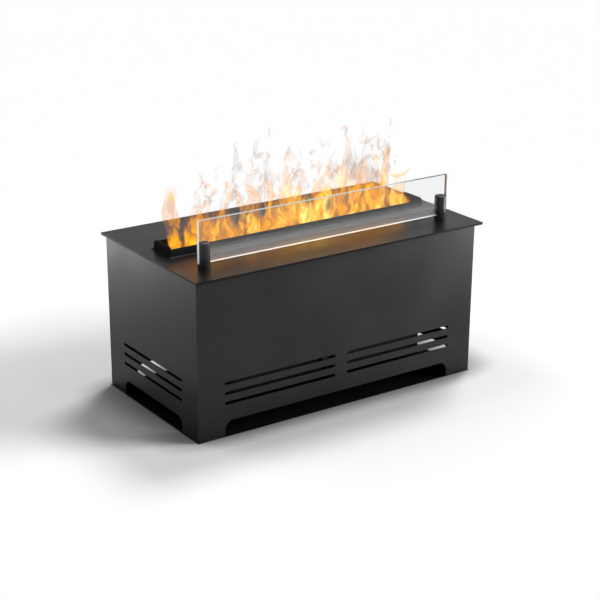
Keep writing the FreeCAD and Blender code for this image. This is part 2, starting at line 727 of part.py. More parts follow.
# Shelf across the housing, with ends folded down against the side walls
shelf_edge = size("shelf_edge", 5, "basin shelf beyond the basin, front and back")
shelf_fold = size("shelf_fold", 12, "basin shelf folded ends")
shelf_depth = basin_depth + shelf_edge * 2
shelf_side = housing_side - housing_sheet
basin_shelf = new_body("basin_shelf")
pad(basin_shelf, level_rectangle(basin_shelf, shelf_top, shelf_side, shelf_depth / 2), housing_sheet, True)
fold_sketch = new_sketch(basin_shelf, "XY_Plane", shelf_top)
rectangle(fold_sketch, -shelf_side, housing_sheet - shelf_side, -shelf_depth / 2, shelf_depth / 2)
rectangle(fold_sketch, shelf_side - housing_sheet, shelf_side, -shelf_depth / 2, shelf_depth / 2)
pad(basin_shelf, fold_sketch, shelf_fold, True)

# Mist basin: an open tray with a window in its front wall for the fan's air
window_width = size("window_width", 120, "air window in the basin, side to side")
window_height = size("window_height", 22, "air window height")
window_drop = size("window_drop", 12, "air window below the basin's rim")
mist_basin = new_body("mist_basin")
pad(mist_basin, level_rectangle(mist_basin, shelf_top, basin_length / 2, basin_depth / 2), basin_height)
pocket_down(mist_basin, level_rectangle(mist_basin, housing_top, basin_x, basin_y), basin_height - basin_wall)
window_sketch = new_sketch(mist_basin, "XZ_Plane", basin_depth / 2)
rectangle(window_sketch, -window_width / 2, window_width / 2,
          housing_top - window_drop - window_height, housing_top - window_drop)
pocket_down(mist_basin, window_sketch, basin_wall)
nozzle_radius = size("nozzle_radius", 3, "hose nozzle radius")
nozzle_length = size("nozzle_length", 8, "hose nozzle length")
nozzle_bore = size("nozzle_bore", 2, "hose nozzle bore radius")
volute_radius = size("volute_radius", 17, "pump volute radius")
pump_gap = size("pump_gap", 11, "pump beside the tank")
nipple_run = size("nipple_run", 48, "basin nozzle right of the pump")
nipple_z = size("nipple_z", 150, "basin nozzle above the floor")
pump_x = tank_side + pump_gap + volute_radius
nipple_x = pump_x - nipple_run
nipple_sketch = new_sketch(mist_basin, "XZ_Plane", -basin_depth / 2)
circle(nipple_sketch, -nipple_x, nipple_z, nozzle_radius)
pad(mist_basin, nipple_sketch, nozzle_length, True)
drip_sketch = new_sketch(mist_basin, "XZ_Plane", -basin_depth / 2 - nozzle_length)
circle(drip_sketch, -nipple_x, nipple_z, nozzle_bore)
pocket_down(mist_basin, drip_sketch, nozzle_length + basin_wall, True)

# Ultrasonic transducers on the basin floor
holder_height = size("holder_height", 12, "transducer holder height")
disc_radius = size("disc_radius", 12, "transducer disc radius")
disc_thick = size("disc_thick", 2, "transducer disc thickness")
disc_sink = size("disc_sink", 4, "recess in the holder over the disc")
basin_floor = shelf_top + basin_wall
recess_low = basin_floor + holder_height - disc_sink
group("transducer_holders", [
    cut(rod(holder_pitch * column, 0, basin_floor, holder_radius, holder_height),
        rod(holder_pitch * column, 0, recess_low, disc_radius + thread_play, disc_sink))
    for column in HOLDER_COLUMNS])
group("transducer_discs", [
    rod(holder_pitch * column, 0, recess_low, disc_radius, disc_thick) for column in HOLDER_COLUMNS])

# Level float on its stem
float_height = size("float_height", 20, "float height")
float_travel = size("float_travel", 18, "float travel")
stem_radius = size("stem_radius", 3, "float stem radius")
stop_radius = size("stop_radius", 6, "float stem stops")
stop_height = size("stop_height", 2, "height of each stop on the stem")
float_play = size("float_play", 0.08, "gap round the float's stem")
float_low = basin_floor + stop_height
stem_length = stop_height + float_height + float_travel + stop_height * 2
keep(fuse(rod(-float_x, 0, basin_floor, stem_radius, stem_length),
          rod(-float_x, 0, basin_floor, stop_radius, stop_height),
          rod(-float_x, 0, basin_floor + stem_length - stop_height, stop_radius, stop_height)), "float_stem")
keep(tube(-float_x, 0, float_low, float_radius, stem_radius + float_play, float_height), "level_float")

# Fan: a square frame on the housing's front wall, with three arms, a fixed pin and a bladed impeller
fan_depth = size("fan_depth", 15, "fan frame depth")
hub_radius = size("hub_radius", 8, "fan hub radius")
arm_width = size("arm_width", 3, "fan arm width and depth")
pin_radius = size("pin_radius", 1.5, "fan pin radius")
pin_play = size("pin_play", 0.06, "gap round the fan pin")
blade_tip = size("blade_tip", 17, "impeller radius")
blade_thick = size("blade_thick", 1, "impeller blade thickness")
blade_pitch = size("blade_pitch", 38, "impeller blade pitch angle")
impeller_depth = size("impeller_depth", 8, "impeller depth")
impeller_gap = size("impeller_gap", 1.5, "impeller behind the frame's front face")
BLADES = 7
BLADE_ROOT = 0.7
ARMS = 3
fan_front = housing_front + housing_sheet
fan_back = fan_front + fan_depth
impeller_front = fan_front + impeller_gap


def turned(thing, angle, x, y, z):
    """Turn a thing about the fan's axis, then set its place."""
    thing.Placement = FreeCAD.Placement(FreeCAD.Vector(), FreeCAD.Rotation(FreeCAD.Vector(0, 1, 0), angle))
    for axis, place in zip("xyz", (x, y, z)):
        bind(thing, f"Placement.Base.{axis}", place)
    return thing


def fan_arm(angle):
    """Arm from the fan's hub to its frame."""
    arm = doc.addObject("Part::Box", "arm")
    bind(arm, "Length", fan_bore + 1)
    bind(arm, "Width", arm_width)
    bind(arm, "Height", arm_width)
    return turned(arm, angle, fan_x, fan_back - arm_width, fan_z)


fan_edge = fan_size / 2
fan_shell = cut(block((fan_x - fan_edge, fan_x + fan_edge), (fan_front, fan_back), (fan_z - fan_edge, fan_z + fan_edge)),
                rod(fan_x, fan_front, fan_z, fan_bore, fan_depth, "y"))
keep(fuse(fan_shell, rod(fan_x, fan_back - arm_width, fan_z, hub_radius, arm_width, "y"),
          rod(fan_x, impeller_front, fan_z, pin_radius, fan_depth - impeller_gap, "y"),
          *[fan_arm(360 / ARMS * i) for i in range(ARMS)]), "fan_frame")


def fan_blade(angle):
    """Flat blade from inside the hub, pitched about its own length and turned round the axis."""
    blade = doc.addObject("Part::Box", "blade")
    bind(blade, "Length", blade_tip)
    bind(blade, "Width", impeller_depth / math.cos(math.radians(blade_pitch.value)) - blade_thick * 2)
    bind(blade, "Height", blade_thick)
    pitch = FreeCAD.Rotation(FreeCAD.Vector(1, 0, 0), blade_pitch.value)
    spin = FreeCAD.Rotation(FreeCAD.Vector(0, 1, 0), angle)
    blade.Placement = FreeCAD.Placement(FreeCAD.Vector(), spin.multiply(pitch))
    root = spin.multVec(FreeCAD.Vector(BLADE_ROOT, 0, 0))
    bind(blade, "Placement.Base.x", fan_x + hub_radius * root.x)
    bind(blade, "Placement.Base.y", impeller_front + blade_thick)
    bind(blade, "Placement.Base.z", fan_z + hub_radius * root.z)
    return blade


def trimmed(solid, envelope):
    feature = doc.addObject("Part::Common", "trimmed")
    feature.Base = solid
    feature.Tool = envelope
    return feature


sweep = rod(fan_x, impeller_front, fan_z, blade_tip, impeller_depth, "y")
impeller = fuse(rod(fan_x, impeller_front, fan_z, hub_radius, impeller_depth, "y"),
                *[trimmed(fan_blade(360 / BLADES * (i + 0.5)), sweep) for i in range(BLADES)])
keep(cut(impeller, rod(fan_x, impeller_front, fan_z, pin_radius + pin_play, impeller_depth, "y")), "fan_impeller")

# Water tank on two runners: a closed box with a filler neck, a quarter-turn cap, a pull handle and a valve
runner_width = size("runner_width", 10, "tank runner width")
runner_inset = size("runner_inset", 15, "runner to the tank's side")
filler_inset = size("filler_inset", 60, "filler neck in from the tank's right side")
filler_gap = size("filler_gap", 2.2, "tank cap behind the basin shelf")
filler_radius = size("filler_radius", 16, "filler hole radius")
neck_wall = size("neck_wall", 3, "filler neck wall")
cap_play = size("cap_play", 0.3, "gap between cap and neck")
feed_rise = size("feed_rise", 10, "water line above the housing floor")
valve_inset = size("valve_inset", 50, "tank valve in from the tank's left side")
valve_radius = size("valve_radius", 5, "tank valve spigot radius")
valve_length = size("valve_length", 12, "tank valve spigot length")
valve_bore = size("valve_bore", 3, "tank valve bore radius")
handle_width = size("handle_width", 90, "tank handle, side to side")
handle_bar = size("handle_bar", 8, "tank handle bar thickness")
handle_reach = size("handle_reach", 25, "tank handle behind the tank")
handle_height = size("handle_height", 16, "tank handle bar height")
feed_level = housing_floor + feed_rise
cap_inner = filler_radius + neck_wall + cap_play
cap_outer = cap_inner + cap_wall
filler_x = tank_side - filler_inset
filler_y = shelf_depth / 2 + filler_gap + cap_outer
valve_x = tank_side - valve_inset

group("tank_runners", [
    block((x - runner_width / 2, x + runner_width / 2), (tank_front, housing_back - housing_sheet),
          (housing_floor, tank_low))
    for x in (runner_inset - tank_side, tank_side - runner_inset)])

water_tank = new_body("water_tank")
shell_sketch = new_sketch(water_tank, "XY_Plane", tank_low)
rectangle(shell_sketch, -tank_side, tank_side, tank_front, tank_back, tank_corner)
pad(water_tank, shell_sketch, tank_height)
hollow_sketch = new_sketch(water_tank, "XY_Plane", tank_high)
rectangle(hollow_sketch, tank_wall - tank_side, tank_side - tank_wall,
          tank_front + tank_wall, tank_back - tank_wall, tank_corner - tank_wall)
pocket_down(water_tank, hollow_sketch, tank_height - tank_wall)
lid_sketch = new_sketch(water_tank, "XY_Plane", tank_high)
rectangle(lid_sketch, -tank_side, tank_side, tank_front, tank_back, tank_corner)
circle(lid_sketch, filler_x, filler_y, filler_radius)
pad(water_tank, lid_sketch, tank_wall, True)
neck_sketch = new_sketch(water_tank, "XY_Plane", tank_high)
circle(neck_sketch, filler_x, filler_y, filler_radius)
circle(neck_sketch, filler_x, filler_y, filler_radius + neck_wall)
pad(water_tank, neck_sketch, neck_height)
drain_sketch = new_sketch(water_tank, "XZ_Plane", -tank_front)
circle(drain_sketch, -valve_x, feed_level, valve_bore)
pocket_down(water_tank, drain_sketch, tank_wall)

cap_low = tank_high + cap_play
tank_cap = new_body("tank_cap")
cap_sketch = new_sketch(tank_cap, "XY_Plane", cap_low)
circle(cap_sketch, filler_x, filler_y, cap_outer)
pad(tank_cap, cap_sketch, cap_roof + cap_wall - cap_low)
cap_bore = new_sketch(tank_cap, "XY_Plane", cap_low)
circle(cap_bore, filler_x, filler_y, cap_inner)
pocket_down(tank_cap, cap_bore, cap_roof - cap_low, True)
ridge_sketch = new_sketch(tank_cap, "XY_Plane", cap_roof)
rectangle(ridge_sketch, filler_x - filler_radius, filler_x + filler_radius,
          filler_y - cap_grip / 2, filler_y + cap_grip / 2)
pad(tank_cap, ridge_sketch, cap_wall + cap_grip)
keep(tube(filler_x, filler_y, neck_top, filler_radius + neck_wall, filler_radius, seal_thick), "cap_seal")

tank_handle = new_body("tank_handle")
handle_sketch = new_sketch(tank_handle, "XY_Plane", tank_low + tank_height / 2 - handle_height / 2)
outline(handle_sketch, [
    (-handle_width / 2, tank_back), (handle_bar - handle_width / 2, tank_back),
    (handle_bar - handle_width / 2, tank_back + handle_reach - handle_bar, handle_bar / 4),
    (handle_width / 2 - handle_bar, tank_back + handle_reach - handle_bar, handle_bar / 4),
    (handle_width / 2 - handle_bar, tank_back), (handle_width / 2, tank_back),
    (handle_width / 2, tank_back + handle_reach, handle_bar), (-handle_width / 2, tank_back + handle_reach, handle_bar)])
pad(tank_handle, handle_sketch, handle_height)

valve_flange = size("valve_flange", 2, "tank valve flange thickness")
keep(cut(fuse(rod(-valve_x, tank_front - valve_flange, feed_level, valve_radius * 1.4, valve_flange, "y"),
              rod(-valve_x, tank_front - valve_length, feed_level, valve_radius, valve_length, "y")),
         rod(-valve_x, tank_front - valve_length, feed_level, valve_bore, valve_length, "y")), "tank_valve")

# Water feed: a dock for the tank's valve, a pump and two hoses
dock_width = size("dock_width", 24, "tank dock, side to side")
dock_depth = size("dock_depth", 20, "tank dock, front to back")
dock_over = size("dock_over", 10, "tank dock above the water line")
dock_gap = size("dock_gap", 0.5, "dock to the valve's flange")
valve_play = size("valve_play", 0.08, "gap round the valve in the dock")
pump_y = size("pump_y", 20, "pump axis behind the plate centre")
motor_radius = size("motor_radius", 14, "pump motor radius")
motor_height = size("motor_height", 30, "pump motor height")
hose_wall = size("hose_wall", 2, "hose wall")
hose_bend = size("hose_bend", 15, "hose bend radius")
hose_back = size("hose_back", 95, "feed hose riser behind the plate centre")
seat_gap = size("seat_gap", 0.3, "hose end to the nozzle's root")

dock_back = tank_front - valve_flange - dock_gap
dock_side = valve_x + dock_width / 2
suction_y = tank_front - valve_length - nozzle_radius
dock_block = block((-dock_side, dock_width / 2 - valve_x), (dock_back - dock_depth, dock_back),
                   (housing_floor, feed_level + dock_over))
dock_block = fuse(dock_block, rod(-dock_side - nozzle_length, suction_y, feed_level, nozzle_radius,
                                  nozzle_length + dock_width / 4, "x"))
keep(cut(dock_block,
         rod(-valve_x, tank_front - valve_length - dock_gap, feed_level, valve_radius + valve_play, valve_length, "y"),
         rod(-valve_x, suction_y, feed_level, valve_bore, valve_length, "y"),
         rod(-dock_side - nozzle_length, suction_y, feed_level, nozzle_bore, nozzle_length + dock_width / 2, "x")),
     "tank_dock")

volute_height = feed_rise * 2
inlet_tip = pump_y - volute_radius - nozzle_length
keep(fuse(rod(-pump_x, pump_y, housing_floor, volute_radius, volute_height),
          rod(-pump_x, pump_y, housing_floor + volute_height, motor_radius, motor_height),
          rod(-pump_x, inlet_tip, feed_level, nozzle_radius, (volute_radius + nozzle_length) * 2, "y")), "feed_pump")


def hose(label, points, bend):
    """Tube along straight runs joined by tangent arcs of one radius."""
    corners = [FreeCAD.Vector(*[as_size(part).value for part in point]) for point in points]
    runs = []
    start = corners[0]
    for before, corner, after in zip(corners, corners[1:], corners[2:]):
        way_in = (corner - before).normalize()
        way_out = (after - corner).normalize()
        arc_start = corner - way_in * bend.value
        arc_end = corner + way_out * bend.value
        centre = arc_start + way_out * bend.value
        middle = centre + (way_in - way_out).normalize() * bend.value
        runs.append(Part.LineSegment(start, arc_start).toShape())
        runs.append(Part.Arc(arc_start, middle, arc_end).toShape())
        start = arc_end
    runs.append(Part.LineSegment(start, corners[-1]).toShape())
    path = Part.Wire(runs)
    inner = (nozzle_radius + thread_play).value

    def swept(radius):
        ring = Part.Wire([Part.Circle(corners[0], corners[1] - corners[0], radius).toShape()])
        return path.makePipeShell([ring], True, False)
    feature = doc.addObject("Part::Feature", label)
    feature.Shape = swept(inner + hose_wall.value).cut(swept(inner))
    keep(feature, label)


hose("suction_hose", [
    (-dock_side - seat_gap, suction_y, feed_level), (-pump_x, suction_y, feed_level),
    (-pump_x, pump_y - volute_radius - seat_gap, feed_level)], hose_bend)
hose("feed_hose", [
    (-pump_x, pump_y + volute_radius + seat_gap, feed_level), (-pump_x, hose_back, feed_level),
    (-pump_x, hose_back, nipple_z), (-nipple_x, hose_back, nipple_z),
    (-nipple_x, basin_depth / 2 + seat_gap, nipple_z)], hose_bend)

# Power supply: a closed case with louvres on top
supply_x = size("supply_x", 60, "power supply's left end")
supply_width = size("supply_width", 110, "power supply, side to side")
supply_height = size("supply_height", 36, "power supply height")
louvre_width = size("louvre_width", 4, "louvre width")
louvre_pitch = size("louvre_pitch", 12, "louvre spacing")
louvre_depth = size("louvre_depth", 2, "louvre depth")
LOUVRES = 7
power_supply = new_body("power_supply")
supply_sketch = new_sketch(power_supply, "XY_Plane", housing_floor)
rectangle(supply_sketch, supply_x, supply_x + supply_width, supply_front, supply_front + supply_depth, louvre_depth)
pad(power_supply, supply_sketch, supply_height)
louvre_sketch = new_sketch(power_supply, "XY_Plane", housing_floor + supply_height)
rectangle(louvre_sketch, supply_x + louvre_pitch, supply_x + louvre_pitch + louvre_width,
          supply_front + louvre_pitch / 2, supply_front + supply_depth - louvre_pitch / 2)
louvre = pocket_down(power_supply, louvre_sketch, louvre_depth)
repeat(power_supply, louvre, louvre_sketch, "H_Axis", louvre_pitch, LOUVRES)

# Control board on four standoffs behind the front wall
board_wall_gap = size("board_wall_gap", 13.5, "control board to the housing's left wall")
board_fan_gap = size("board_fan_gap", 14, "control board to the fan")
board_low = size("board_low", 80, "control board's lower edge above the floor")
board_height = size("board_height", 66, "control board height")
board_thick = size("board_thick", 1.6, "control board thickness")
standoff_length = size("standoff_length", 5, "standoff length")
standoff_across = size("standoff_across", 6, "standoff across the flats")
standoff_inset = size("standoff_inset", 6, "standoff to the board's edge")
board_front = fan_front + standoff_length
board_back = board_front + board_thick
board_left = housing_side - housing_sheet - board_wall_gap
board_right = fan_x - fan_size / 2 - board_fan_gap
board_high = board_low + board_height
keep(block((-board_left, board_right), (board_front, board_back), (board_low, board_high)), "control_board")
group("board_standoffs", [
    hexagon(x, fan_front, z, standoff_across, standoff_length, "y")
    for x in (standoff_inset - board_left, board_right - standoff_inset)
    for z in (board_low + standoff_inset, board_high - standoff_inset)])
relay_size = size("relay_size", 18, "relay width")
capacitor_radius = size("capacitor_radius", 7, "capacitor radius")
part_pitch = size("part_pitch", 26, "spacing of the parts on the board")
part_reach = size("part_reach", 15, "height of the parts above the board")
part_z = board_low + board_height / 2
group("board_parts",
      [block((part_pitch * i - board_left + part_pitch / 2, part_pitch * i - board_left + part_pitch / 2 + relay_size),
             (board_back, board_back + part_reach), (part_z, part_z + relay_size)) for i in range(3)]
      + [rod(part_pitch * i - board_left + part_pitch, board_back, part_z - relay_size, capacitor_radius,
             part_reach, "y") for i in range(4)])

# Mains inlet: a flanged socket with three contact blades in its recess
flange_proud = size("flange_proud", 2, "inlet and switch flange thickness")
inlet_depth = size("inlet_depth", 22, "mains inlet body depth")
inlet_wall = size("inlet_wall", 2.5, "mains inlet wall")
recess_depth = size("recess_depth", 16, "mains inlet recess depth")
blade_width = size("blade_width", 2, "contact blade thickness")
blade_height = size("blade_height", 4, "contact blade height")
blade_length = size("blade_length", 12, "contact blade length")
blade_spread = size("blade_spread", 7, "contact blades either side of the middle")


def rear_rectangle(body, y, centre, half_x, half_z):
    """Rectangle facing the back, about the service column."""
    sketch = new_sketch(body, "XZ_Plane", -y)
    rectangle(sketch, service_x - half_x, service_x + half_x, centre - half_z, centre + half_z)
    return sketch


def flanged_body(label, centre, width, height, depth):
    """Flange behind the housing's rear wall and a body through it."""
    body = new_body(label)
    flange = rear_rectangle(body, housing_back, centre, width / 2 + plate_flange, height / 2 + plate_flange)
    pad(body, flange, flange_proud, True)
    pad(body, rear_rectangle(body, housing_back, centre, width / 2, height / 2), depth)
    return body


rear_face = housing_back + flange_proud
inlet_socket = flanged_body("inlet_socket", inlet_centre, inlet_width, inlet_height, inlet_depth)
recess = rear_rectangle(inlet_socket, rear_face, inlet_centre, inlet_width / 2 - inlet_wall, inlet_height / 2 - inlet_wall)
pocket_down(inlet_socket, recess, recess_depth, True)
contacts = new_sketch(inlet_socket, "XZ_Plane", recess_depth - rear_face)
for across, up in ((0, -1), (0, 1), (1, 0)):
    x = service_x + blade_spread / 2 * across
    z = inlet_centre + blade_spread * up
    rectangle(contacts, x - blade_width / 2, x + blade_width / 2, z - blade_height / 2, z + blade_height / 2)
pad(inlet_socket, contacts, blade_length, True)

# Rocker switch: a frame with a pivot and a tilted rocker
switch_depth = size("switch_depth", 20, "switch body depth")
switch_wall = size("switch_wall", 2, "switch body wall")
well_depth = size("well_depth", 14, "switch well depth")
pivot_depth = size("pivot_depth", 6.5, "rocker pivot inside the switch's rear face")
pivot_radius = size("pivot_radius", 1.5, "rocker pivot radius")
pivot_play = size("pivot_play", 0.06, "gap round the rocker's pivot")
pivot_bite = size("pivot_bite", 1.4, "rocker pivot length in the frame")
rocker_play = size("rocker_play", 0.5, "gap beside the rocker")
rocker_half = size("rocker_half", 9, "rocker half height")
rocker_rise = size("rocker_rise", 4.5, "rocker ends above its pivot")
rocker_dip = size("rocker_dip", 3, "rocker middle above its pivot")
rocker_tilt = size("rocker_tilt", 10, "rocker tilt each way")

pivot_y = rear_face - pivot_depth
switch_frame = flanged_body("switch_frame", switch_centre, switch_width, switch_height, switch_depth)
well_x = switch_width / 2 - switch_wall
well = rear_rectangle(switch_frame, rear_face, switch_centre, well_x, switch_height / 2 - switch_wall)
pocket_down(switch_frame, well, well_depth, True)
pivot_sketch = new_sketch(switch_frame, "YZ_Plane")
circle(pivot_sketch, pivot_y, switch_centre, pivot_radius + pivot_play)
pocket_through(switch_frame, pivot_sketch)


def tilted(out, up):
    """Point of the rocker's profile, tilted with its upper end out."""
    angle = math.radians(-rocker_tilt.value)
    return (pivot_y + out * math.cos(angle) - up * math.sin(angle),
            switch_centre + out * math.sin(angle) + up * math.cos(angle))


rocker_x = well_x - rocker_play
switch_rocker = new_body("switch_rocker")
profile = new_sketch(switch_rocker, "YZ_Plane", service_x - rocker_x)
polygon(profile, [
    tilted(-rocker_rise, as_size(0)), tilted(-pivot_radius, -rocker_half), tilted(rocker_rise, -rocker_half),
    tilted(rocker_dip, as_size(0)), tilted(rocker_rise, rocker_half), tilted(-pivot_radius, rocker_half)])
pad(switch_rocker, profile, rocker_x * 2)
pin_sketch = new_sketch(switch_rocker, "YZ_Plane", service_x - well_x - pivot_bite)
circle(pin_sketch, pivot_y, switch_centre, pivot_radius)
pad(switch_rocker, pin_sketch, well_x * 2 + pivot_bite * 2)

# Lit vapour: two rows of thin tongues that rise from the lips of the slit
flame_height = size("flame_height", 206, "tallest tongue above the top plate")
flame_thick = size("flame_thick", 2, "tongue thickness")
flame_width = size("flame_width", 36, "tongue width at its belly")
flame_pitch = size("flame_pitch", 46, "tongue spacing")
flame_sway = size("flame_sway", 4.5, "sideways sway of a tongue")
FRONT_TONGUES = (0.58, 0.40, 0.55, 0.62, 0.52, 1.00, 0.74, 0.50, 0.84, 0.70, 0.66)
BACK_TONGUES = (0.44, 0.50, 0.66, 0.47, 0.72, 0.80, 0.46, 0.72, 0.60, 0.86)
# Height, half width and sway at stations up a tongue, each as a share of its own size
STATIONS = ((0.0, 0.62, 0.0), (0.16, 1.0, 0.6), (0.36, 0.78, -0.7), (0.58, 0.42, 0.9), (0.8, 0.2, -0.5))


def tongue(x, y, height, hand):
    """Flat tongue: two flowing sides from a narrow foot, past a belly, to a swaying tip."""
    base = slit_top.value
    half = flame_width.value / 2
    sway = flame_sway.value * hand
    sides = []
    for side in (-1, 1):
        points = [FreeCAD.Vector(x + side * half * wide + sway * lean, y, base + height * up)
                  for up, wide, lean in STATIONS]
        curve = Part.BSplineCurve()
        curve.interpolate(points + [FreeCAD.Vector(x + sway, y, base + height)])
        sides.append(curve.toShape())
    left, right = sides
    sill = Part.LineSegment(right.Vertexes[0].Point, left.Vertexes[0].Point).toShape()
    face = Part.Face(Part.Wire(Part.__sortEdges__([left, right, sill])))
    return face.extrude(FreeCAD.Vector(0, flame_thick.value, 0))


def flame_row(y, shares):
    """Row of tongues about the middle of the slit, their heights as shares of the tallest."""
    tallest = (plate_top + flame_height - slit_top).value
    first = -flame_pitch.value * (len(shares) - 1) / 2
    return [tongue(first + flame_pitch.value * i, y, tallest * share, 1 if i % 2 else -1)
            for i, share in enumerate(shares)]


lip_y = (slit_width / 2 + flame_thick / 2).value
vapour_flames = doc.addObject("Part::Feature", "vapour_flames")
vapour_flames.Shape = Part.makeCompound(
    flame_row(-lip_y - flame_thick.value, FRONT_TONGUES) + flame_row(lip_y, BACK_TONGUES))
keep(vapour_flames, "vapour_flames")


# Recompute, check every object and write each sub-part
doc.recompute()
for thing in doc.Objects:
    if "Invalid" in thing.State or "Error" in thing.State:
        raise RuntimeError(f"{thing.Name} failed: {thing.State}")
os.makedirs("parts", exist_ok=True)
for piece in pieces:
    if piece.Shape.isNull() or not piece.Shape.isValid():
        raise RuntimeError(f"{piece.Label} has no valid shape")
    piece.Shape.exportStep(f"parts/{piece.Label}.step")
    print(piece.Label, len(piece.Shape.Solids), round(piece.Shape.Volume))
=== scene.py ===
# %% [markdown]
# # Dressing a water vapour fireplace
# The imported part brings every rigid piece: a slotted steel casing, a top plate, a collar round
# the outlet, a glass pane in two posts and the burner inside. This lesson adds what makes it look
# real: the view, the light, a finish for every piece and the lit vapour itself.

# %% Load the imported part
import json
import math

import bpy
import numpy as np
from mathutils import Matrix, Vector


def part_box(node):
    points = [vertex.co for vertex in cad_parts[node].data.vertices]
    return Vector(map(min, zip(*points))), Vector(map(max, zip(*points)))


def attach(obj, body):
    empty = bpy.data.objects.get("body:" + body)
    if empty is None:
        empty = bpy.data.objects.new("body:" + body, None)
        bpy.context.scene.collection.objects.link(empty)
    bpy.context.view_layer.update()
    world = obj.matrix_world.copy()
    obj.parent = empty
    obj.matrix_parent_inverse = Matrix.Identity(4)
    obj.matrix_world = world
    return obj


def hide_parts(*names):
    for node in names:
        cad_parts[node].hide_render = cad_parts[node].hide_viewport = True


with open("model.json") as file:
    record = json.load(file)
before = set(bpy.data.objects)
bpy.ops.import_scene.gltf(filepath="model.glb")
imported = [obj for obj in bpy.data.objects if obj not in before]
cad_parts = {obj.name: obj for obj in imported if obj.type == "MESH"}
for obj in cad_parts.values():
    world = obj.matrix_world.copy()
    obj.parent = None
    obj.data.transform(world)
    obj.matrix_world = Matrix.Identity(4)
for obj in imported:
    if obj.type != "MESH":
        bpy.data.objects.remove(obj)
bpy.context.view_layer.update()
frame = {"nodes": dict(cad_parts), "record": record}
nodes = frame["nodes"]

# %% [markdown]
# ## The view
# A picture's perspective fixes one station, one direction and one focal length. They come from the
# casing's straight edges. The optical centre lies a little off the middle of the frame, and the lens
# shift carries that.

# %% Camera
FRAME_SIDE = 600
FOCAL_PIXELS = 1537.57
OPTICAL_CENTRE = (275.14, 325.79)
STATION = (-1.51373, -2.2135, 1.12932)
TURN = math.radians(-33.64)
TILT = math.radians(20.92)
SENSOR = 36.0
FAR_CLIP = 60.0

lens = bpy.data.cameras.new("viewpoint")
lens.sensor_width = SENSOR
lens.lens = FOCAL_PIXELS * SENSOR / FRAME_SIDE
lens.shift_x = 0.5 - OPTICAL_CENTRE[0] / FRAME_SIDE
lens.shift_y = OPTICAL_CENTRE[1] / FRAME_SIDE - 0.5
lens.clip_end = FAR_CLIP
viewpoint = bpy.data.objects.new("viewpoint", lens)
viewpoint.location = STATION
viewpoint.rotation_euler = (math.pi / 2 - TILT, 0, TURN)
bpy.context.collection.objects.link(viewpoint)
bpy.context.scene.camera = viewpoint
print("lens:", round(lens.lens, 2), "mm")

# %% [markdown]
# ## Node helpers
# Every finish is a small graph of nodes. Short helpers keep those graphs readable. One adds a node with
# its sockets filled in and one links two sockets. The others do one small job each: a step of arithmetic,
# a change of range, a coordinate's three axes, a mix of two shaders, or the start of a new material.


# %% Node helpers
def add(tree, kind, **values):
    """New node of a kind; values are socket names, with a space written as an underscore."""
    node = tree.nodes.new("ShaderNode" + kind)
    for name, value in values.items():
        node.inputs[name.replace("_", " ")].default_value = value
    return node


def link(tree, source, target):
    tree.links.new(source, target)


def math_node(tree, operation, first, second=None):
    """One arithmetic step on sockets or plain numbers."""
    step = add(tree, "Math")
    step.operation = operation
    for socket, value in zip(step.inputs, (first, second)):
        if value is None:
            continue
        if isinstance(value, (int, float)):
            socket.default_value = value
        else:
            link(tree, value, socket)
    return step.outputs[0]


def ranged(tree, source, eased=False, **limits):
    """Carry a value from the range From_Min to From_Max into the range To_Min to To_Max."""
    span = add(tree, "MapRange", **limits)
    if eased:
        span.interpolation_type = "SMOOTHSTEP"
    link(tree, source, span.inputs["Value"])
    return span.outputs[0]


def axes_of(tree, kind="Object"):
    """X, Y and Z of a piece's own coordinates, or of its normals."""
    place = add(tree, "TexCoord")
    axes = add(tree, "SeparateXYZ")
    link(tree, place.outputs[kind], axes.inputs[0])
    return axes.outputs


def mix_shaders(tree, share, first, second):
    """The first shader at a share of 0, the second at a share of 1."""
    mixed = add(tree, "MixShader")
    for source, socket in zip((share, first, second), mixed.inputs):
        link(tree, source, socket)
    return mixed.outputs[0]


def new_finish(name):
    """Empty material, its tree and its output node."""
    finish = bpy.data.materials.new(name)
    finish.use_nodes = True
    tree = finish.node_tree
    tree.nodes.clear()
    return finish, tree, tree.nodes.new("ShaderNodeOutputMaterial")


def grey(level):
    return (level, level, level, 1)


# %% [markdown]
# ## Floor
# The floor is plain and white. It keeps the soft shadow because its colour is lit by the lamps, and a
# little light of its own, seen only by the camera, in mirrors and through glass, lifts the open floor to
# white. That lift fades towards the part's own footprint, as painted shade. A painted shade also darkens the
# floor's colour close to the part and inside its footprint, where little light gets in.


# %% Painted shade round the footprint
def seen_ray(tree):
    """1 for rays from the camera, from a mirror or through glass, else 0."""
    path = add(tree, "LightPath").outputs
    indirect = math_node(tree, "MAXIMUM", path["Is Glossy Ray"], path["Is Transmission Ray"])
    return math_node(tree, "MAXIMUM", path["Is Camera Ray"], indirect)


def footprint(tree):
    """Offsets from the casing's middle on X and Y, without sign, and its half sizes."""
    foot_low, foot_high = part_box("front_panel")[0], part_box("back_panel")[1]
    axes = axes_of(tree)
    offsets, halves = [], []
    for number, axis in enumerate("XY"):
        middle = (foot_low[number] + foot_high[number]) / 2
        halves.append((foot_high[number] - foot_low[number]) / 2)
        offsets.append(math_node(tree, "ABSOLUTE", math_node(tree, "SUBTRACT", axes[axis], middle)))
    return offsets, halves


def outside_foot(tree, margin, inner=0.0):
    """A share under the casing that rises to 1 a margin outside it: the larger of |x| - half width and
    |y| - half depth, over the margin."""
    gaps = [math_node(tree, "SUBTRACT", offset, half) for offset, half in zip(*footprint(tree))]
    return ranged(tree, math_node(tree, "MAXIMUM", *gaps), From_Max=margin, To_Min=inner)


RING_POWER = 6.0


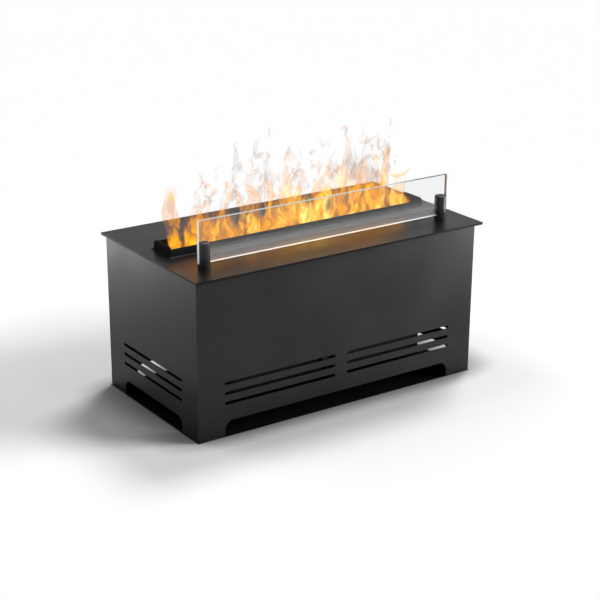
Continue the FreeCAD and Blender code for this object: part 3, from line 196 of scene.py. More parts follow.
def near_foot(tree, margin, inner):
    """A share at the middle of each side that rises to 1 a margin outside it and sooner at the corners: the
    sixth root of (x / half width)^6 + (y / half depth)^6, less 1, over the margin."""
    powers = [math_node(tree, "POWER", math_node(tree, "DIVIDE", offset, half), RING_POWER)
              for offset, half in zip(*footprint(tree))]
    ring = math_node(tree, "POWER", math_node(tree, "ADD", *powers), 1 / RING_POWER)
    return ranged(tree, ring, eased=True, From_Min=1.0, From_Max=1.0 + margin, To_Min=inner)


# %% Floor
FLOOR_HALF, FLOOR_DROP = 20.0, 0.0002
FLOOR_COLOUR, FLOOR_GLOW = 0.9, 0.05
GLOW_MARGIN = 0.15
FOOT_SHARE, FOOT_MARGIN = 0.02, 0.004
NEAR_SHARE, NEAR_MARGIN = 0.35, 0.34

floor_finish, tree, out = new_finish("pale_floor")
matt = add(tree, "BsdfDiffuse")
# Painted shade: the floor's colour darkens inside the footprint and close to the casing
painted_floor_shade = math_node(tree, "MULTIPLY", outside_foot(tree, FOOT_MARGIN, FOOT_SHARE),
                   near_foot(tree, NEAR_MARGIN, NEAR_SHARE))
link(tree, math_node(tree, "MULTIPLY", painted_floor_shade, FLOOR_COLOUR), matt.inputs["Color"])
lift = add(tree, "Emission", Color=grey(1.0))
# Painted shade: the floor's glow fades towards the footprint
shown = math_node(tree, "MULTIPLY", seen_ray(tree), outside_foot(tree, GLOW_MARGIN))
link(tree, math_node(tree, "MULTIPLY", shown, FLOOR_GLOW), lift.inputs["Strength"])
both = add(tree, "AddShader")
link(tree, matt.outputs[0], both.inputs[0])
link(tree, lift.outputs[0], both.inputs[1])
link(tree, both.outputs[0], out.inputs["Surface"])

corners = np.array([(-1, -1, 0), (1, -1, 0), (1, 1, 0), (-1, 1, 0)]) * FLOOR_HALF
floor_mesh = bpy.data.meshes.new("floor")
floor_mesh.from_pydata((corners - (0, 0, FLOOR_DROP)).tolist(), [], [(0, 1, 2, 3)])
floor_mesh.materials.append(floor_finish)
floor = bpy.data.objects.new("floor", floor_mesh)
bpy.context.collection.objects.link(floor)
print("floor:", 2 * FLOOR_HALF, "m across")

# %% [markdown]
# ## Sky, suns and lamps
# The sky looks white but gives little light, so the suns make the shadow. There are three soft ones: one
# low at the right front makes the shadow long to the left, one high at the right back keeps it short in
# front, and a weak one at the left back shades the right side. Two low lamps shade the panels from end to
# end. They are kept off the glass pane, which would mirror them.

# %% Sky
SKY_LIGHT = 0.06
VAPOUR_LAYERS = 32

world = bpy.data.worlds.new("studio")
world.use_nodes = True
bpy.context.scene.world = world
tree = world.node_tree
tree.nodes.clear()
sky = add(tree, "Background", Color=grey(1.0))
link(tree, ranged(tree, seen_ray(tree), To_Min=SKY_LIGHT, To_Max=1.0), sky.inputs["Strength"])
link(tree, sky.outputs[0], tree.nodes.new("ShaderNodeOutputWorld").inputs["Surface"])
bpy.context.scene.view_settings.view_transform = "Standard"
bpy.context.scene.cycles.transparent_max_bounces = VAPOUR_LAYERS
print("light of the sky:", SKY_LIGHT)

# %% Suns and lamps
# Bearing from +Y towards +X, height and spread in degrees, and the share of white given to the floor
SUNS = {"right_front": (122, 19, 30, 0.41), "right_back": (59, 57, 18, 0.41),
        "left_back": (322, 50, 36, 0.17)}
# Place, point that it is turned to, width and height in metres, and watts
LAMPS = {"right_sweep": ((0.95, -0.55, 0.07), (0.2, -0.157, 0.12), 0.5, 0.1, 3.0),
         "left_sweep": ((-0.62, 0.75, 0.08), (-0.3, 0.1, 0.18), 0.4, 0.1, 0.6)}

for name, (bearing, height, spread_angle, share) in SUNS.items():
    sun = bpy.data.lights.new(name, "SUN")
    sun.angle = math.radians(spread_angle)
    sun.energy = share * math.pi / math.sin(math.radians(height))
    holder = bpy.data.objects.new(name, sun)
    holder.rotation_euler = (math.radians(90 - height), 0, math.pi - math.radians(bearing))
    bpy.context.collection.objects.link(holder)

lamp_shy = bpy.data.collections.new("lamp_shy")
lamp_shy.objects.link(nodes["glass_pane"])
lamp_shy.collection_objects[0].light_linking.link_state = "EXCLUDE"
for name, (place, aim, wide, tall, watts) in LAMPS.items():
    lamp = bpy.data.lights.new(name, "AREA")
    lamp.shape = "RECTANGLE"
    lamp.size = wide
    lamp.size_y = tall
    lamp.energy = watts
    holder = bpy.data.objects.new(name, lamp)
    way = np.subtract(aim, place)
    holder.location = place
    holder.rotation_euler = (math.atan2(math.hypot(way[0], way[1]), -way[2]), 0, math.atan2(-way[0], way[1]))
    holder.light_linking.receiver_collection = lamp_shy
    bpy.context.collection.objects.link(holder)
print("suns and lamps:", len(bpy.data.lights))

# %% [markdown]
# ## Grain
# A real finish is never one flat colour: paint has a fine orange peel, rolled sheet has crystals and
# moulded plastic a spark-eroded skin. Each comes from noise read at the piece's own coordinates in
# metres, so a scale of 500 means grains of about 2 mm on every piece.

# %% Grain helpers
GRAIN_DETAIL, GRAIN_ROUGHNESS = 2.0, 0.55
NOISE_LOW, NOISE_HIGH = 0.3, 0.7


def grain(tree, scale, stretch=(1, 1, 1)):
    """Noise from 0 to 1 at a scale per metre, stretched along the axes."""
    place = add(tree, "TexCoord")
    turn = add(tree, "Mapping", Scale=stretch)
    speckle = add(tree, "TexNoise", Scale=scale, Detail=GRAIN_DETAIL, Roughness=GRAIN_ROUGHNESS)
    link(tree, place.outputs["Object"], turn.inputs["Vector"])
    link(tree, turn.outputs[0], speckle.inputs["Vector"])
    return speckle.outputs[0]


def crystals(tree, scale):
    """One grey per cell, as on zinc sheet."""
    place = add(tree, "TexCoord")
    cells = add(tree, "TexVoronoi", Scale=scale)
    link(tree, place.outputs["Object"], cells.inputs["Vector"])
    level = add(tree, "RGBToBW")
    link(tree, cells.outputs["Color"], level.inputs[0])
    return level.outputs[0]


def spread(tree, source, low, high):
    """Stretch the middle of a noise over the range from low to high."""
    return ranged(tree, source, From_Min=NOISE_LOW, From_Max=NOISE_HIGH, To_Min=low, To_Max=high)


def shade(rgb, factor=1.0):
    return tuple(part * factor for part in rgb) + (1,)


def blended(tree, share, first, second):
    """Colour between two colours or colour sockets, by a share."""
    node = add(tree, "Mix")
    node.data_type = "RGBA"
    link(tree, share, node.inputs[0])
    for socket, value in zip([s for s in node.inputs if s.type == "RGBA"], (first, second)):
        if isinstance(value, tuple):
            socket.default_value = value
        else:
            link(tree, value, socket)
    return [s for s in node.outputs if s.type == "RGBA"][0]


# %% [markdown]
# ## A general coated or moulded finish
# Paint, plate and plastic differ in colour, gloss and grain, not in kind. So one function builds them
# all: colour and roughness drift slowly over the piece, and a fine grain lifts the surface. Drawn, turned
# and sliding pieces have their grain stretched along the way that they were worked.

# %% Coated, moulded and plated finishes
BUMP_DEPTH = 0.0003
ROUGH_CHANGE = 0.06


def surface(name, rgb, rough, drift=8.0, fine=900.0, lift=0.12, stretch=(1, 1, 1), colour_change=0.18,
            metal=0.0, spangle=None, gloss=0.5):
    """Principled finish: colour and roughness drift by coarse noise, a bump comes from fine noise."""
    finish, tree, out = new_finish(name)
    shader = add(tree, "BsdfPrincipled", Metallic=metal, Specular_IOR_Level=gloss)
    coarse = crystals(tree, spangle) if spangle else grain(tree, drift, stretch)
    dark, pale = shade(rgb, 1 - colour_change), shade(rgb, 1 + colour_change)
    colour = blended(tree, spread(tree, coarse, 0, 1), dark, pale)
    link(tree, colour, shader.inputs["Base Color"])
    link(tree, spread(tree, coarse, rough - ROUGH_CHANGE, rough + ROUGH_CHANGE), shader.inputs["Roughness"])
    bump = add(tree, "Bump", Strength=lift, Distance=BUMP_DEPTH)
    link(tree, grain(tree, fine, stretch), bump.inputs["Height"])
    link(tree, bump.outputs[0], shader.inputs["Normal"])
    link(tree, shader.outputs[0], out.inputs["Surface"])
    return finish, tree, shader


ALONG_X, ALONG_Y, ROUND_Z = (0.02, 1, 1), (1, 0.02, 1), (0.02, 0.02, 1)
finishes = {}
for name, rgb, rough, look in (
        ("panel_coat", (0.008, 0.008, 0.0085), 0.34, dict(fine=1300, gloss=0.22)),
        ("plate_coat", (0.005, 0.005, 0.0055), 0.38, dict(fine=700, lift=0.04, gloss=0.078)),
        ("post_steel", (0.010, 0.010, 0.0105), 0.32, dict(fine=1500, stretch=ROUND_Z, gloss=0.35)),
        ("zinc_sheet", (0.33, 0.34, 0.35), 0.42, dict(metal=1.0, spangle=150, colour_change=0.12, lift=0.04)),
        ("plated_steel", (0.55, 0.55, 0.56), 0.28, dict(metal=1.0, drift=60, lift=0.05)),
        ("seal_rubber", (0.025, 0.025, 0.026), 0.8, dict(fine=1600, lift=0.25)),
        ("drawn_aluminium", (0.72, 0.73, 0.74), 0.34, dict(metal=1.0, stretch=ALONG_X, fine=1800)),
        ("basin_plastic", (0.07, 0.07, 0.075), 0.5, dict(fine=1700, lift=0.2)),
        ("holder_plastic", (0.62, 0.62, 0.6), 0.45, dict(fine=1700, colour_change=0.06)),
        ("fan_plastic", (0.035, 0.035, 0.037), 0.48, dict(fine=1700, lift=0.2)),
        ("runner_plastic", (0.74, 0.74, 0.71), 0.32, dict(stretch=ALONG_Y, colour_change=0.05)),
        ("cap_plastic", (0.06, 0.17, 0.4), 0.4, dict(fine=1700, colour_change=0.1)),
        ("rocker_plastic", (0.45, 0.02, 0.02), 0.3, dict(fine=1700, lift=0.08, colour_change=0.1)),
        ("float_foam", (0.82, 0.82, 0.8), 0.75, dict(fine=700, lift=0.5, colour_change=0.05)),
        ("disc_plating", (0.78, 0.6, 0.28), 0.3, dict(metal=1.0, drift=90, lift=0.05))):
    finishes[name] = surface(name, rgb, rough, **look)[0]
print("finishes:", len(finishes))

# %% [markdown]
# ## Collar
# The collar round the outlet is sprayed dead black, so that only the vapour shows. Along its thin front
# flange a painted highlight turns the coat a lighter grey, where the flange's edge catches the light.

# %% Collar finish
FLANGE_HIGHLIGHT_DEPTH = 0.0030
PAINTED_HIGHLIGHT_GREY = 0.085
DEAD_BLACK = (0.011, 0.011, 0.011)

finishes["collar_coat"], tree, shader = surface("collar_coat", DEAD_BLACK, 0.6, fine=1300, gloss=0.03)
# Painted highlight: a lighter grey on the flange's front strip
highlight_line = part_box("outlet_collar")[0][1] + FLANGE_HIGHLIGHT_DEPTH
painted_highlight = math_node(tree, "LESS_THAN", axes_of(tree)["Y"], highlight_line)
sprayed = shader.inputs["Base Color"].links[0].from_socket
link(tree, blended(tree, painted_highlight, sprayed, grey(PAINTED_HIGHLIGHT_GREY)), shader.inputs["Base Color"])
print("collar worn in front of y:", round(highlight_line, 4))

# %% [markdown]
# ## Glass pane
# The pane is clear float glass. Light goes straight through a flat pane, so its broad faces are a
# see-through shader with a mirror on top, by Fresnel. Both faces mirror, and the front one stands for
# both. Drops that dry on its lower part leave a faint haze, which fades upwards. Its cut edges gather light
# along the pane, and here that is painted light with a weak glow of their own: a painted highlight on the
# foot, the near end and the near part of the top, in front of the vapour, and painted shade on the far end
# and the far part of the top.

# %% Broad faces of the pane
PANE_INDEX = 1.7
PANE_TINT = (0.945, 0.955, 0.952, 1)
MIRROR_ROUGH = 0.02
HAZE_SHARE, HAZE_FULL, HAZE_END = 0.135, 0.012, 0.034
HAZE_GREY = 0.85

finishes["clear_pane"], tree, pane_out = new_finish("clear_pane")
pane_low, pane_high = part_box("glass_pane")
axes, facing = axes_of(tree), axes_of(tree, "Normal")
through = add(tree, "BsdfTransparent", Color=PANE_TINT)
dried = add(tree, "BsdfDiffuse", Color=grey(HAZE_GREY))
haze_share = ranged(tree, axes["Z"], eased=True, From_Min=pane_low[2] + HAZE_FULL,
                    From_Max=pane_low[2] + HAZE_END, To_Min=HAZE_SHARE, To_Max=0.0)
hazy = mix_shaders(tree, haze_share, through.outputs[0], dried.outputs[0])
mirror = add(tree, "BsdfAnisotropic", Roughness=MIRROR_ROUGH)
gloss = add(tree, "Fresnel", IOR=PANE_INDEX)
front_only = math_node(tree, "SUBTRACT", 1.0, add(tree, "NewGeometry").outputs["Backfacing"])
mirror_share = math_node(tree, "MULTIPLY", gloss.outputs[0], front_only)
broad_face = mix_shaders(tree, mirror_share, hazy, mirror.outputs[0])
print("pane:", round(pane_high[0] - pane_low[0], 3), "m wide")

# %% Painted light on the cut edges of the pane
PAINTED_EDGE_GLOW, EDGE_ROUGH, EDGE_GLOSS = 0.2, 0.12, 0.15
LEFT_CUT_HIGHLIGHT, RIGHT_CUT_SHADE = (0.9, 1.0, 1.0, 1), (0.10, 0.11, 0.11, 1)
FOOT_CUT_HIGHLIGHT, TOP_CUT_HIGHLIGHT, TOP_CUT_SHADE = (1.0, 0.96, 0.9, 1), (0.36, 0.46, 0.45, 1), (0.02, 0.045, 0.045, 1)
TOP_SHADE_FROM, TOP_SHADE_TO = 0.14, 0.20
BROAD = 0.5

# Painted light: pale edges and a weak glow at the foot, near end and near top, painted shade at the far end
# and far top
edge = add(tree, "BsdfPrincipled", Roughness=EDGE_ROUGH, Emission_Strength=PAINTED_EDGE_GLOW,
           Specular_IOR_Level=EDGE_GLOSS)
right_half = math_node(tree, "GREATER_THAN", axes["X"], 0.0)
upper_half = math_node(tree, "GREATER_THAN", axes["Z"], (pane_low[2] + pane_high[2]) / 2)
unlit = ranged(tree, axes["X"], From_Min=TOP_SHADE_FROM, From_Max=TOP_SHADE_TO)
painted_long_light = blended(tree, upper_half, FOOT_CUT_HIGHLIGHT, blended(tree, unlit, TOP_CUT_HIGHLIGHT, TOP_CUT_SHADE))
painted_end_light = blended(tree, right_half, LEFT_CUT_HIGHLIGHT, RIGHT_CUT_SHADE)
painted_edge_light = blended(tree, math_node(tree, "ABSOLUTE", facing["X"]), painted_long_light, painted_end_light)
link(tree, painted_edge_light, edge.inputs["Base Color"])
link(tree, painted_edge_light, edge.inputs["Emission Color"])
broad = math_node(tree, "GREATER_THAN", math_node(tree, "ABSOLUTE", facing["Y"]), BROAD)
link(tree, mix_shaders(tree, broad, edge.outputs[0], broad_face), pane_out.inputs["Surface"])
print("nodes in the pane's finish:", len(tree.nodes))

# %% [markdown]
# ## Milky plastics, lights and the circuit board
# Lenses, hoses and the tank let light through without being clear, so the general finish gets a share of
# transmission. The light strips carry a row of small glowing chips: the fraction of X times their number
# per metre tells a chip from the gap after it. The circuit board's green mask has a coarse, strong grain.

# %% Milky plastics, lights and the circuit board
CHIPS_PER_METRE, CHIP_SHARE = 60.0, 0.45
CHIP_COLOUR = (0.8, 0.7, 0.5)
CHIP_LIGHT, CHIP_GLOW = (1.0, 0.5, 0.12, 1), 3.0

for name, rgb, rough, clear in (("lens_plastic", (0.95, 0.9, 0.82), 0.12, 0.8),
                                ("milky_hose", (0.74, 0.77, 0.78), 0.4, 0.35),
                                ("milky_tank", (0.76, 0.83, 0.87), 0.38, 0.4)):
    finishes[name], tree, shader = surface(name, rgb, rough, fine=1200, lift=0.06, colour_change=0.05)
    shader.inputs["Transmission Weight"].default_value = clear

finishes["led_chips"], tree, shader = surface("led_chips", CHIP_COLOUR, 0.4, fine=1500, colour_change=0.05)
step = math_node(tree, "FRACT", math_node(tree, "MULTIPLY", axes_of(tree)["X"], CHIPS_PER_METRE))
chip = math_node(tree, "LESS_THAN", step, CHIP_SHARE)
shader.inputs["Emission Color"].default_value = CHIP_LIGHT
link(tree, math_node(tree, "MULTIPLY", chip, CHIP_GLOW), shader.inputs["Emission Strength"])

finishes["solder_mask"] = surface("solder_mask", (0.03, 0.2, 0.07), 0.3, drift=240, fine=420, lift=0.2,
                                  colour_change=0.3)[0]
print("finishes:", len(finishes))

# %% [markdown]
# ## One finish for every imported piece
# The record names a material slot for each piece. The table pairs each slot with a finish made above, a
# few pieces have one of their own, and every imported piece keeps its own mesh. The vapour's solid gets
# none, because a piece made below replaces it.

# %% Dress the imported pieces
SLOT_FINISH = {
    "black_steel": "panel_coat", "plate_black": "plate_coat", "post_black": "post_steel",
    "zinc_sheet": "zinc_sheet", "screw_steel": "plated_steel", "seal_rubber": "seal_rubber",
    "bar_aluminium": "drawn_aluminium", "led_strip": "led_chips", "lens_clear": "lens_plastic",
    "basin_plastic": "basin_plastic", "holder_plastic": "holder_plastic", "fan_plastic": "fan_plastic",
    "runner_plastic": "runner_plastic", "hose_clear": "milky_hose", "disc_brass": "disc_plating",
    "board_green": "solder_mask", "clear_glass": "clear_pane", "tank_plastic": "milky_tank",
    "cap_blue": "cap_plastic", "rocker_red": "rocker_plastic", "float_white": "float_foam",
}
# The slit plate and the insert housing wear black coats in place of their bare metal: painted shade, so they
# look dark in the outlet and through the slots
OWN_FINISH = {"outlet_collar": "collar_coat", "slit_plate": "collar_coat", "insert_housing": "panel_coat"}
dressed = 0
for row in frame["record"]["subparts"]:
    finish_name = OWN_FINISH.get(row["node"]) or SLOT_FINISH.get(row["material_slot"])
    if finish_name is None:
        continue
    for slot in nodes[row["node"]].material_slots:
        slot.material = finishes[finish_name]
        dressed += 1
print("dressed:", dressed)

# %% [markdown]
# ## Lit vapour
# The vapour rises from the slit as a sheet that tears into tongues. Each tongue is a ribbon: a swaying
# centre line that climbs from the slit, a width that swells and then runs out at the tip, and a
# twist that turns it as it rises. Two numbers ride on every vertex: heat, which picks the colour, and
# veil, which says how much of what is behind is covered.

# %% Grids and points
SEED = 7
MM = 0.001
TAU = 2 * np.pi
SLIT_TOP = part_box("slit_plate")[1][2]
PLATE_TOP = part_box("top_plate")[1][2]
FOOT_DROP = (PLATE_TOP - SLIT_TOP) / MM
ROWS, COLS = 40, 13

draw = np.random.default_rng(SEED)
up = np.linspace(0, 1, ROWS)[None, :, None]
across = np.linspace(-1, 1, COLS)[None, None, :]


def smooth(value, low, high):
    """Smooth step from 0 at low to 1 at high."""
    share = np.clip((value - low) / (high - low), 0, 1)
    return share * share * (3 - 2 * share)


def column(values):
    """One number per grid, as an array (grid, 1, 1)."""
    return np.asarray(values, float)[:, None, None]


def over_plate(x, y, z):
    """Points in metres from mm, with z counted from the plate's top."""
    return np.stack(np.broadcast_arrays(x * MM, y * MM, PLATE_TOP + z * MM), axis=-1)


print("slit below the plate's top:", round(FOOT_DROP, 1), "mm")

# %% Ribbon surfaces
LEAN = 1.6
SLOW_TURNS, QUICK_TURNS, QUICK_SHARE, DEPTH_TURNS = 1.15, 2.6, 0.4, 0.8
LUMP_TURNS, LUMP_SHARE, LUMP_SLANT = 2.3, 0.28, 0.3
FOOT_WIDTH, TIP_END, TIP_POWER = 0.4, 1.02, 0.7
CUP, SAG, SAG_FROM = 0.35, 0.6, 0.15
CURL_TAPER, CURL_SWING = 0.8, 3.0


def swing(turns, shift):
    """Sine of a number of turns over the height, shifted by a part of a turn."""
    return np.sin(TAU * (turns * up + shift))


def ribbons(foot, tip_x, top, half, belly, bow, curl, twist, phase):
    """Ribbons as arrays (ribbon, row, column). Centre line: foot to tip by up^1.6, plus a bow by sin(pi up)
    and a curl that grows with height. Half width: swells up to the belly's height, then runs out at the tip,
    with lumps. Points lie across the centre line, along a direction that twists with height; the middle is
    cupped backwards and the edges sag. All in mm."""
    foot_x, foot_y, foot_z = (column(part) for part in foot)
    tip_x, top, half, belly, bow, curl, twist, phase = map(
        column, (tip_x, top, half, belly, bow, curl, twist, phase))
    # Different multiples of the phase keep the waves out of step
    wave = swing(SLOW_TURNS, phase) + QUICK_SHARE * swing(QUICK_TURNS, 2 * phase)
    centre_x = foot_x + (tip_x - foot_x) * up ** LEAN + bow * np.sin(np.pi * up) + curl * up * wave
    centre_y = foot_y + curl * up * swing(DEPTH_TURNS, 1.7 * phase)
    lumps = 1 + LUMP_SHARE * swing(LUMP_TURNS, 3 * phase + LUMP_SLANT * across)
    swell = FOOT_WIDTH + (1 - FOOT_WIDTH) * smooth(up, 0, belly)
    width = half * lumps * swell * (1 - smooth(up, belly, TIP_END)) ** TIP_POWER
    x = centre_x + across * width * np.cos(twist * up)
    y = centre_y + across * width * np.sin(twist * up) + CUP * width * (1 - across ** 2)
    z = foot_z + (top - foot_z) * up - SAG * width * across ** 2 * smooth(up, 0, SAG_FROM)
    return over_plate(x, y, z)


def arcs(middle_x, middle_z, wide, tall, start, sweep, half, depth):
    """Curls as arrays (curl, row, column). Each follows part of an ellipse round its middle, from a start
    angle through a sweep, both in turns. The half width swells and runs out at both ends, and the points
    lie across the path, along the radius. All in mm."""
    middle_x, middle_z, wide, tall, start, sweep, half, depth = map(
        column, (middle_x, middle_z, wide, tall, start, sweep, half, depth))
    angle = TAU * (start + sweep * up)
    width = half * np.sin(np.pi * up) ** CURL_TAPER
    x = middle_x + (wide + across * width) * np.cos(angle)
    y = depth + CURL_SWING * swing(1, start)
    z = middle_z + (tall + across * width) * np.sin(angle)
    return over_plate(x, y, z)


# %% [markdown]
# ## From grids to meshes
# A grid's faces are the squares between neighbouring rows and columns, so their corners come from one array
# of vertex numbers, shifted by a row and by a column. One dark, slanted hole stands open in the fire. It
# isn't cut out: the veil is thinned there.

# %% Grids to meshes
LENS_X, LENS_Z, LENS_HALF, LENS_TALL = 76.5, 33.0, 8.0, 17.0
LENS_SLANT, LENS_DEPTH = 0.5, 0.93


def dark_lens(points):
    """Share that is left of the veil round one dark hole in the fire: 1 less a bell over X and height."""
    offset = (points[..., 0] / MM - LENS_X) / LENS_HALF
    height = ((points[..., 2] - PLATE_TOP) / MM - LENS_Z - LENS_SLANT * offset * LENS_HALF) / LENS_TALL
    return 1 - LENS_DEPTH * np.exp(-(offset ** 4 + height ** 4))


def sheet_mesh(name, points, heat, veil):
    """Mesh of grids (grid, row, column, xyz) with heat and veil on its vertices."""
    grids, rows, cols = points.shape[:3]
    index = np.arange(grids * rows * cols).reshape(grids, rows, cols)
    quads = np.stack([index[:, :-1, :-1], index[:, :-1, 1:], index[:, 1:, 1:], index[:, 1:, :-1]], axis=-1)
    quads = quads.reshape(-1, 4)
    mesh = bpy.data.meshes.new(name)
    mesh.vertices.add(index.size)
    mesh.vertices.foreach_set("co", points.astype(np.float32).ravel())
    mesh.loops.add(quads.size)
    mesh.loops.foreach_set("vertex_index", quads.astype(np.int32).ravel())
    mesh.polygons.add(len(quads))
    mesh.polygons.foreach_set("loop_start", np.arange(0, quads.size, 4, dtype=np.int32))
    mesh.polygons.foreach_set("use_smooth", np.ones(len(quads), dtype=bool))
    mesh.update(calc_edges=True)
    for label, values in (("ember", heat), ("veil", veil)):
        layer = mesh.attributes.new(label, "FLOAT", "POINT")
        layer.data.foreach_set("value", np.broadcast_to(values, index.shape).astype(np.float32).ravel())
    piece = bpy.data.objects.new(name, mesh)
    bpy.context.collection.objects.link(piece)
    return piece


# %% [markdown]
# ## The colour of lit vapour
# Lit vapour gives light and hides little. So the finish mixes a see-through shader with a glowing one,
# by the veil. Streaks that run upwards, warped by a slower noise, break up both. The glow runs from
# smoky brown through orange to pale yellow as the heat rises, and it is strongest where it is hottest. A
# picture can't show how much brighter than white such a light is, but its reflection in the plate does, so
# the glow is stronger in mirrors.

# %% Streaks
BEND_SCALE, BEND_REACH = 22.0, 0.05
STREAK_SCALE = (62, 62, 17)

vapour, tree, out = new_finish("lit_vapour")
place = add(tree, "TexCoord")
bend = add(tree, "TexNoise", Scale=BEND_SCALE, Detail=2.0)
link(tree, place.outputs["Object"], bend.inputs["Vector"])
warp = add(tree, "VectorMath")
warp.operation = "MULTIPLY_ADD"
warp.inputs[1].default_value = (BEND_REACH, BEND_REACH, BEND_REACH)
link(tree, bend.outputs["Color"], warp.inputs[0])
link(tree, place.outputs["Object"], warp.inputs[2])
stretch = add(tree, "Mapping", Scale=STREAK_SCALE)
link(tree, warp.outputs[0], stretch.inputs["Vector"])
streak = add(tree, "TexNoise", Scale=1.0, Detail=3.0, Roughness=0.6)
link(tree, stretch.outputs[0], streak.inputs["Vector"])
print("streaks:", round(1000 / STREAK_SCALE[0]), "mm wide,", round(1000 / STREAK_SCALE[2]), "mm tall")

# %% Vapour finish
COOL_GLOW, HOT_GLOW, MIRROR_GLOW = 0.6, 2.15, 3.5
FLICKER_LOW, FLICKER_HIGH = -0.34, 0.32
COVER_LOW, COVER_HIGH, COVER_MOST = 0.3, 1.35, 0.95
VAPOUR_COLOURS = ((0.0, (0.52, 0.40, 0.31)), (0.25, (0.48, 0.25, 0.10)), (0.48, (0.90, 0.300, 0.012)),
                  (0.72, (1.0, 0.46, 0.035)), (1.0, (1.0, 0.70, 0.22)))


def carried(tree, label):
    """A number that rides on the vertices."""
    node = add(tree, "Attribute")
    node.attribute_name = label
    return node.outputs["Fac"]


flicker = spread(tree, streak.outputs[0], FLICKER_LOW, FLICKER_HIGH)
warmth = math_node(tree, "ADD", carried(tree, "ember"), flicker)
ramp = add(tree, "ValToRGB")
link(tree, warmth, ramp.inputs[0])
band = ramp.color_ramp.elements
for number, (position, rgb) in enumerate(VAPOUR_COLOURS):
    stop = band[number] if number < 2 else band.new(position)
    stop.position = position
    stop.color = shade(rgb)
light = add(tree, "Emission")
link(tree, ramp.outputs[0], light.inputs["Color"])
in_mirror = math_node(tree, "MULTIPLY", add(tree, "LightPath").outputs["Is Glossy Ray"], MIRROR_GLOW)
gain = math_node(tree, "ADD", in_mirror, 1.0)
power = ranged(tree, warmth, To_Min=COOL_GLOW, To_Max=HOT_GLOW)
link(tree, math_node(tree, "MULTIPLY", power, gain), light.inputs["Strength"])
vapour.cycles.emission_sampling = "NONE"
cover = add(tree, "Clamp", Max=COVER_MOST)
patchy = spread(tree, streak.outputs[0], COVER_LOW, COVER_HIGH)
link(tree, math_node(tree, "MULTIPLY", carried(tree, "veil"), patchy), cover.inputs["Value"])
clear = add(tree, "BsdfTransparent")
link(tree, mix_shaders(tree, cover.outputs[0], clear.outputs[0], light.outputs[0]), out.inputs["Surface"])
print("colours of the vapour:", len(band))

# %% [markdown]
# ## Fire bed
# Low down the vapour is one bright sheet. Its top edge is a line of lumps and dips, and it is hottest in a
# few places along the slit, with two cooler gaps between. The line's points and those places were picked by
# eye on a picture. A separate calculation with the same camera gave them in mm, and fourteen of the points
# were then changed or added by hand. A second layer close behind, a little lower, gives the bed depth.

# %% Shape of the fire bed
# X and height of the top edge, and the X and half width of hot and cool places
BED_TOP = np.array([
    (-254, 54), (-250, 40), (-245, 29), (-234, 34), (-223, 49), (-212, 61), (-201, 66), (-194, 57),
    (-180, 50), (-167, 45), (-155, 56), (-145, 41), (-137, 55), (-128, 32), (-104, 30), (-86, 39),
    (-75, 31), (-61, 41), (-40, 59), (-30, 42), (-15, 40), (0, 57), (10, 61), (20, 49), (39, 37), (59, 66),
    (71, 76), (90, 65), (99, 56), (129, 62), (163, 66), (197, 60), (202, 30), (216, 45), (232, 38),
    (250, 28), (265, 8)], float)
HOT_SPOTS = np.array([(-88, 9), (-34, 11), (23, 12), (50, 16), (72, 9), (129, 8), (226, 11)], float)
COOL_GAPS = np.array([(7, 4), (202, 4)], float)
BED_ROWS, BED_COLS, BED_REACH = 34, 420, 1.6
BACK_LOWER = 0.12
RIPPLE, RIPPLE_LENGTH, RIPPLE_SHIFT = 3, 13, 0.37
FRONT_Y, LAYER_GAP = -4, 8
SWAY_FULL = 40

bed_x = np.linspace(BED_TOP[0, 0], BED_TOP[-1, 0], BED_COLS)[None, None, :]
rise = np.linspace(0, 1, BED_ROWS)[None, :, None]
behind = column([0.0, 1.0])
bed_top = np.interp(bed_x, BED_TOP[:, 0], BED_TOP[:, 1]) * (1 - BACK_LOWER * behind)
bed_top = bed_top + RIPPLE * np.sin(TAU * (bed_x / RIPPLE_LENGTH + RIPPLE_SHIFT * behind))
bed_z = -FOOT_DROP + (FOOT_DROP + BED_REACH * bed_top) * rise


def bed_wave(size, length, tall, shift):
    """Slanted wave over the bed: a size times the sine of x over a length plus z over a height, in turns."""
    return size * np.sin(TAU * (bed_x / length + bed_z / tall + shift * behind))


bed_sway = smooth(bed_z, 0, SWAY_FULL) * bed_wave(size=4, length=47, tall=70, shift=0.4)
bed_y = FRONT_Y + LAYER_GAP * behind + bed_wave(size=3, length=60, tall=90, shift=0.3)
bed_points = over_plate(bed_x + bed_sway, bed_y, bed_z)
print("fire bed points:", bed_points.shape[:3])

# %% Heat and veil of the fire bed
BODY_VEIL, HAZE_VEIL, GAP_CUT = 0.52, 0.10, 0.45
DENSE_TO, DENSE_END, COOL_FROM = 0.8, 1.06, 0.5
BED_HEAT, HOT_RISE, GAP_FALL, TOP_FALL = 0.47, 0.34, 0.3, 0.1


def bells(x, spots):
    """Sum of bell curves, one for each centre and width."""
    return np.exp(-((x - spots[:, 0, None, None, None]) / spots[:, 1, None, None, None]) ** 2).sum(axis=0)


hot, cool = bells(bed_x, HOT_SPOTS), bells(bed_x, COOL_GAPS)
dense = 1 - smooth(bed_z, DENSE_TO * bed_top, DENSE_END * bed_top)
thin = 1 - smooth(bed_z, bed_top, BED_REACH * bed_top)
bed_veil = (BODY_VEIL * dense + HAZE_VEIL * thin) * (1 - GAP_CUT * cool)
bed_heat = BED_HEAT + HOT_RISE * hot - GAP_FALL * cool
bed_heat = bed_heat - TOP_FALL * smooth(bed_z, COOL_FROM * bed_top, bed_top)
fire_bed = sheet_mesh("fire_bed", bed_points, bed_heat, bed_veil * dark_lens(bed_points))
print("fire bed faces:", len(fire_bed.data.polygons))

# %% [markdown]
# ## Tongues
# The main tongues stand where the fire is tallest. Each has its own row of sizes, because no two are
# alike; smaller ones, drawn by a seeded generator, fill in between them. A tongue is densest near its
# rim, and coolest there too, and it fades at its edges and tip.

